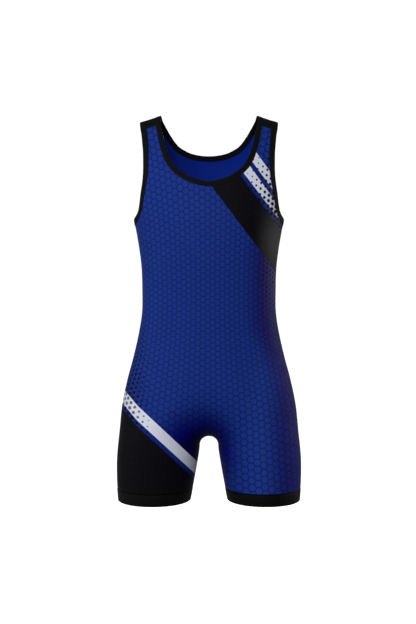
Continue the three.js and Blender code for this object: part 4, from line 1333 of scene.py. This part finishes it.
whole_piece(front_cloth, "printed_knit", "front_panel")
whole_piece(back_cloth, "printed_knit", "back_panel")
whole_piece(neck_cloth, "black_binding", "neck_binding")
whole_piece(neck_stitches, "black_binding")
whole_piece(inseam_threads, "printed_knit")
for side in ("left", "right"):
    whole_piece(shoulder_cloths[side], "black_knit", f"shoulder_piece_{side}")
    whole_piece(arm_cloths[side], "black_binding", f"armhole_binding_{side}")
    whole_piece(band_cloths[side], "black_band", f"leg_band_{side}")
    whole_piece(arm_stitches[side], "black_binding")
    whole_piece(band_stitches[side], "black_band")
    whole_piece(seam_threads[side], "printed_knit")
    whole_piece(shoulder_threads[side], "black_knit")

front_threads = [*seam_threads.values(), inseam_threads]
for piece, grid, joined in ((front_cloth, front_grid, front_threads), (back_cloth, back_grid, [])):
    width, length, area = panel_cut(grid, piece)
    print(piece.name, "cut", round(width, 3), "x", round(length, 3), "m, area", round(area, 4))


def strip(piece):
    """A strip's worn area: it is worked out, and nothing more is done with it."""
    area = half_area(piece)


strip(neck_cloth)
for side in ("left", "right"):
    strip(arm_cloths[side])
    strip(band_cloths[side])
    strip(shoulder_cloths[side])

# %% [markdown]
# ## Floor and light
# A studio shot on white: a large soft light high on the left of the picture, weaker ones in front, at
# both sides and behind, and a pale floor far below. The world is white where the camera sees it and
# dimmer as a light, so that undersides can still go dark.

# %% Floor
FLOOR_Z, FLOOR_REACH = -1.43, 200
floor_mesh = bpy.data.meshes.new("studio_floor")
corners = ((-1, -1), (1, -1), (1, 1), (-1, 1))
floor_places = [(x * FLOOR_REACH, y * FLOOR_REACH, FLOOR_Z) for x, y in corners]
floor_mesh.from_pydata(floor_places, [], [(0, 1, 2, 3)])
floor = bpy.data.objects.new("studio_floor", floor_mesh)
bpy.context.scene.collection.objects.link(floor)
floor_finish = Finish("floor_paint", Roughness=0.9, Emission_Color=(1, 1, 1, 1), Emission_Strength=0.95)
floor_tone = floor_finish.mix(floor_finish.noise(2.0), (0.86, 0.86, 0.86, 1), (0.9, 0.9, 0.9, 1))
floor.data.materials.append(floor_finish.finish(floor_tone))
floor.visible_diffuse = False
floor.visible_glossy = False


# %% Lights
def soft_light(name, place, target, size, power):
    data = bpy.data.lights.new(name, "AREA")
    data.shape, data.size, data.size_y = "RECTANGLE", size[0], size[1]
    data.energy = power
    lamp = bpy.data.objects.new(name, data)
    lamp.location = place
    toward = np.array(target) - np.array(place)
    tilt = math.acos(-toward[2] / np.linalg.norm(toward))
    lamp.rotation_euler = (tilt, 0, math.atan2(toward[1], toward[0]) - QUARTER)
    bpy.context.scene.collection.objects.link(lamp)


soft_light("key_left", (-0.9, -2.8, 1.2), (0, 0, -0.35), (1.6, 1.4), 59)
soft_light("front_fill", (0.2, -3.2, 0.5), (0, 0, -0.4), (1.8, 1.6), 16)
soft_light("right_rim", (2.4, 1.0, 0.2), (0, 0, -0.25), (0.8, 1.2), 25)
soft_light("left_side", (-2.5, -0.5, -0.1), (0, 0, -0.4), (0.9, 1.5), 18)
soft_light("back_light", (0.3, 3.0, 1.0), (0, 0, -0.4), (1.8, 1.8), 60)

world = bpy.data.worlds.new("studio_world")
bpy.context.scene.world = world
world.use_nodes = True
background = world.node_tree.nodes["Background"]
path = world.node_tree.nodes.new("ShaderNodeLightPath")
seen = Number(world.node_tree, path.outputs["Is Camera Ray"])
WORLD_SEEN, WORLD_LIGHT = 1.05, 0.2
feed(world.node_tree, background.inputs["Strength"], WORLD_LIGHT + seen * (WORLD_SEEN - WORLD_LIGHT))
background.inputs["Color"].default_value = (1, 1, 1, 1)
bpy.context.scene.view_settings.view_transform = "Standard"
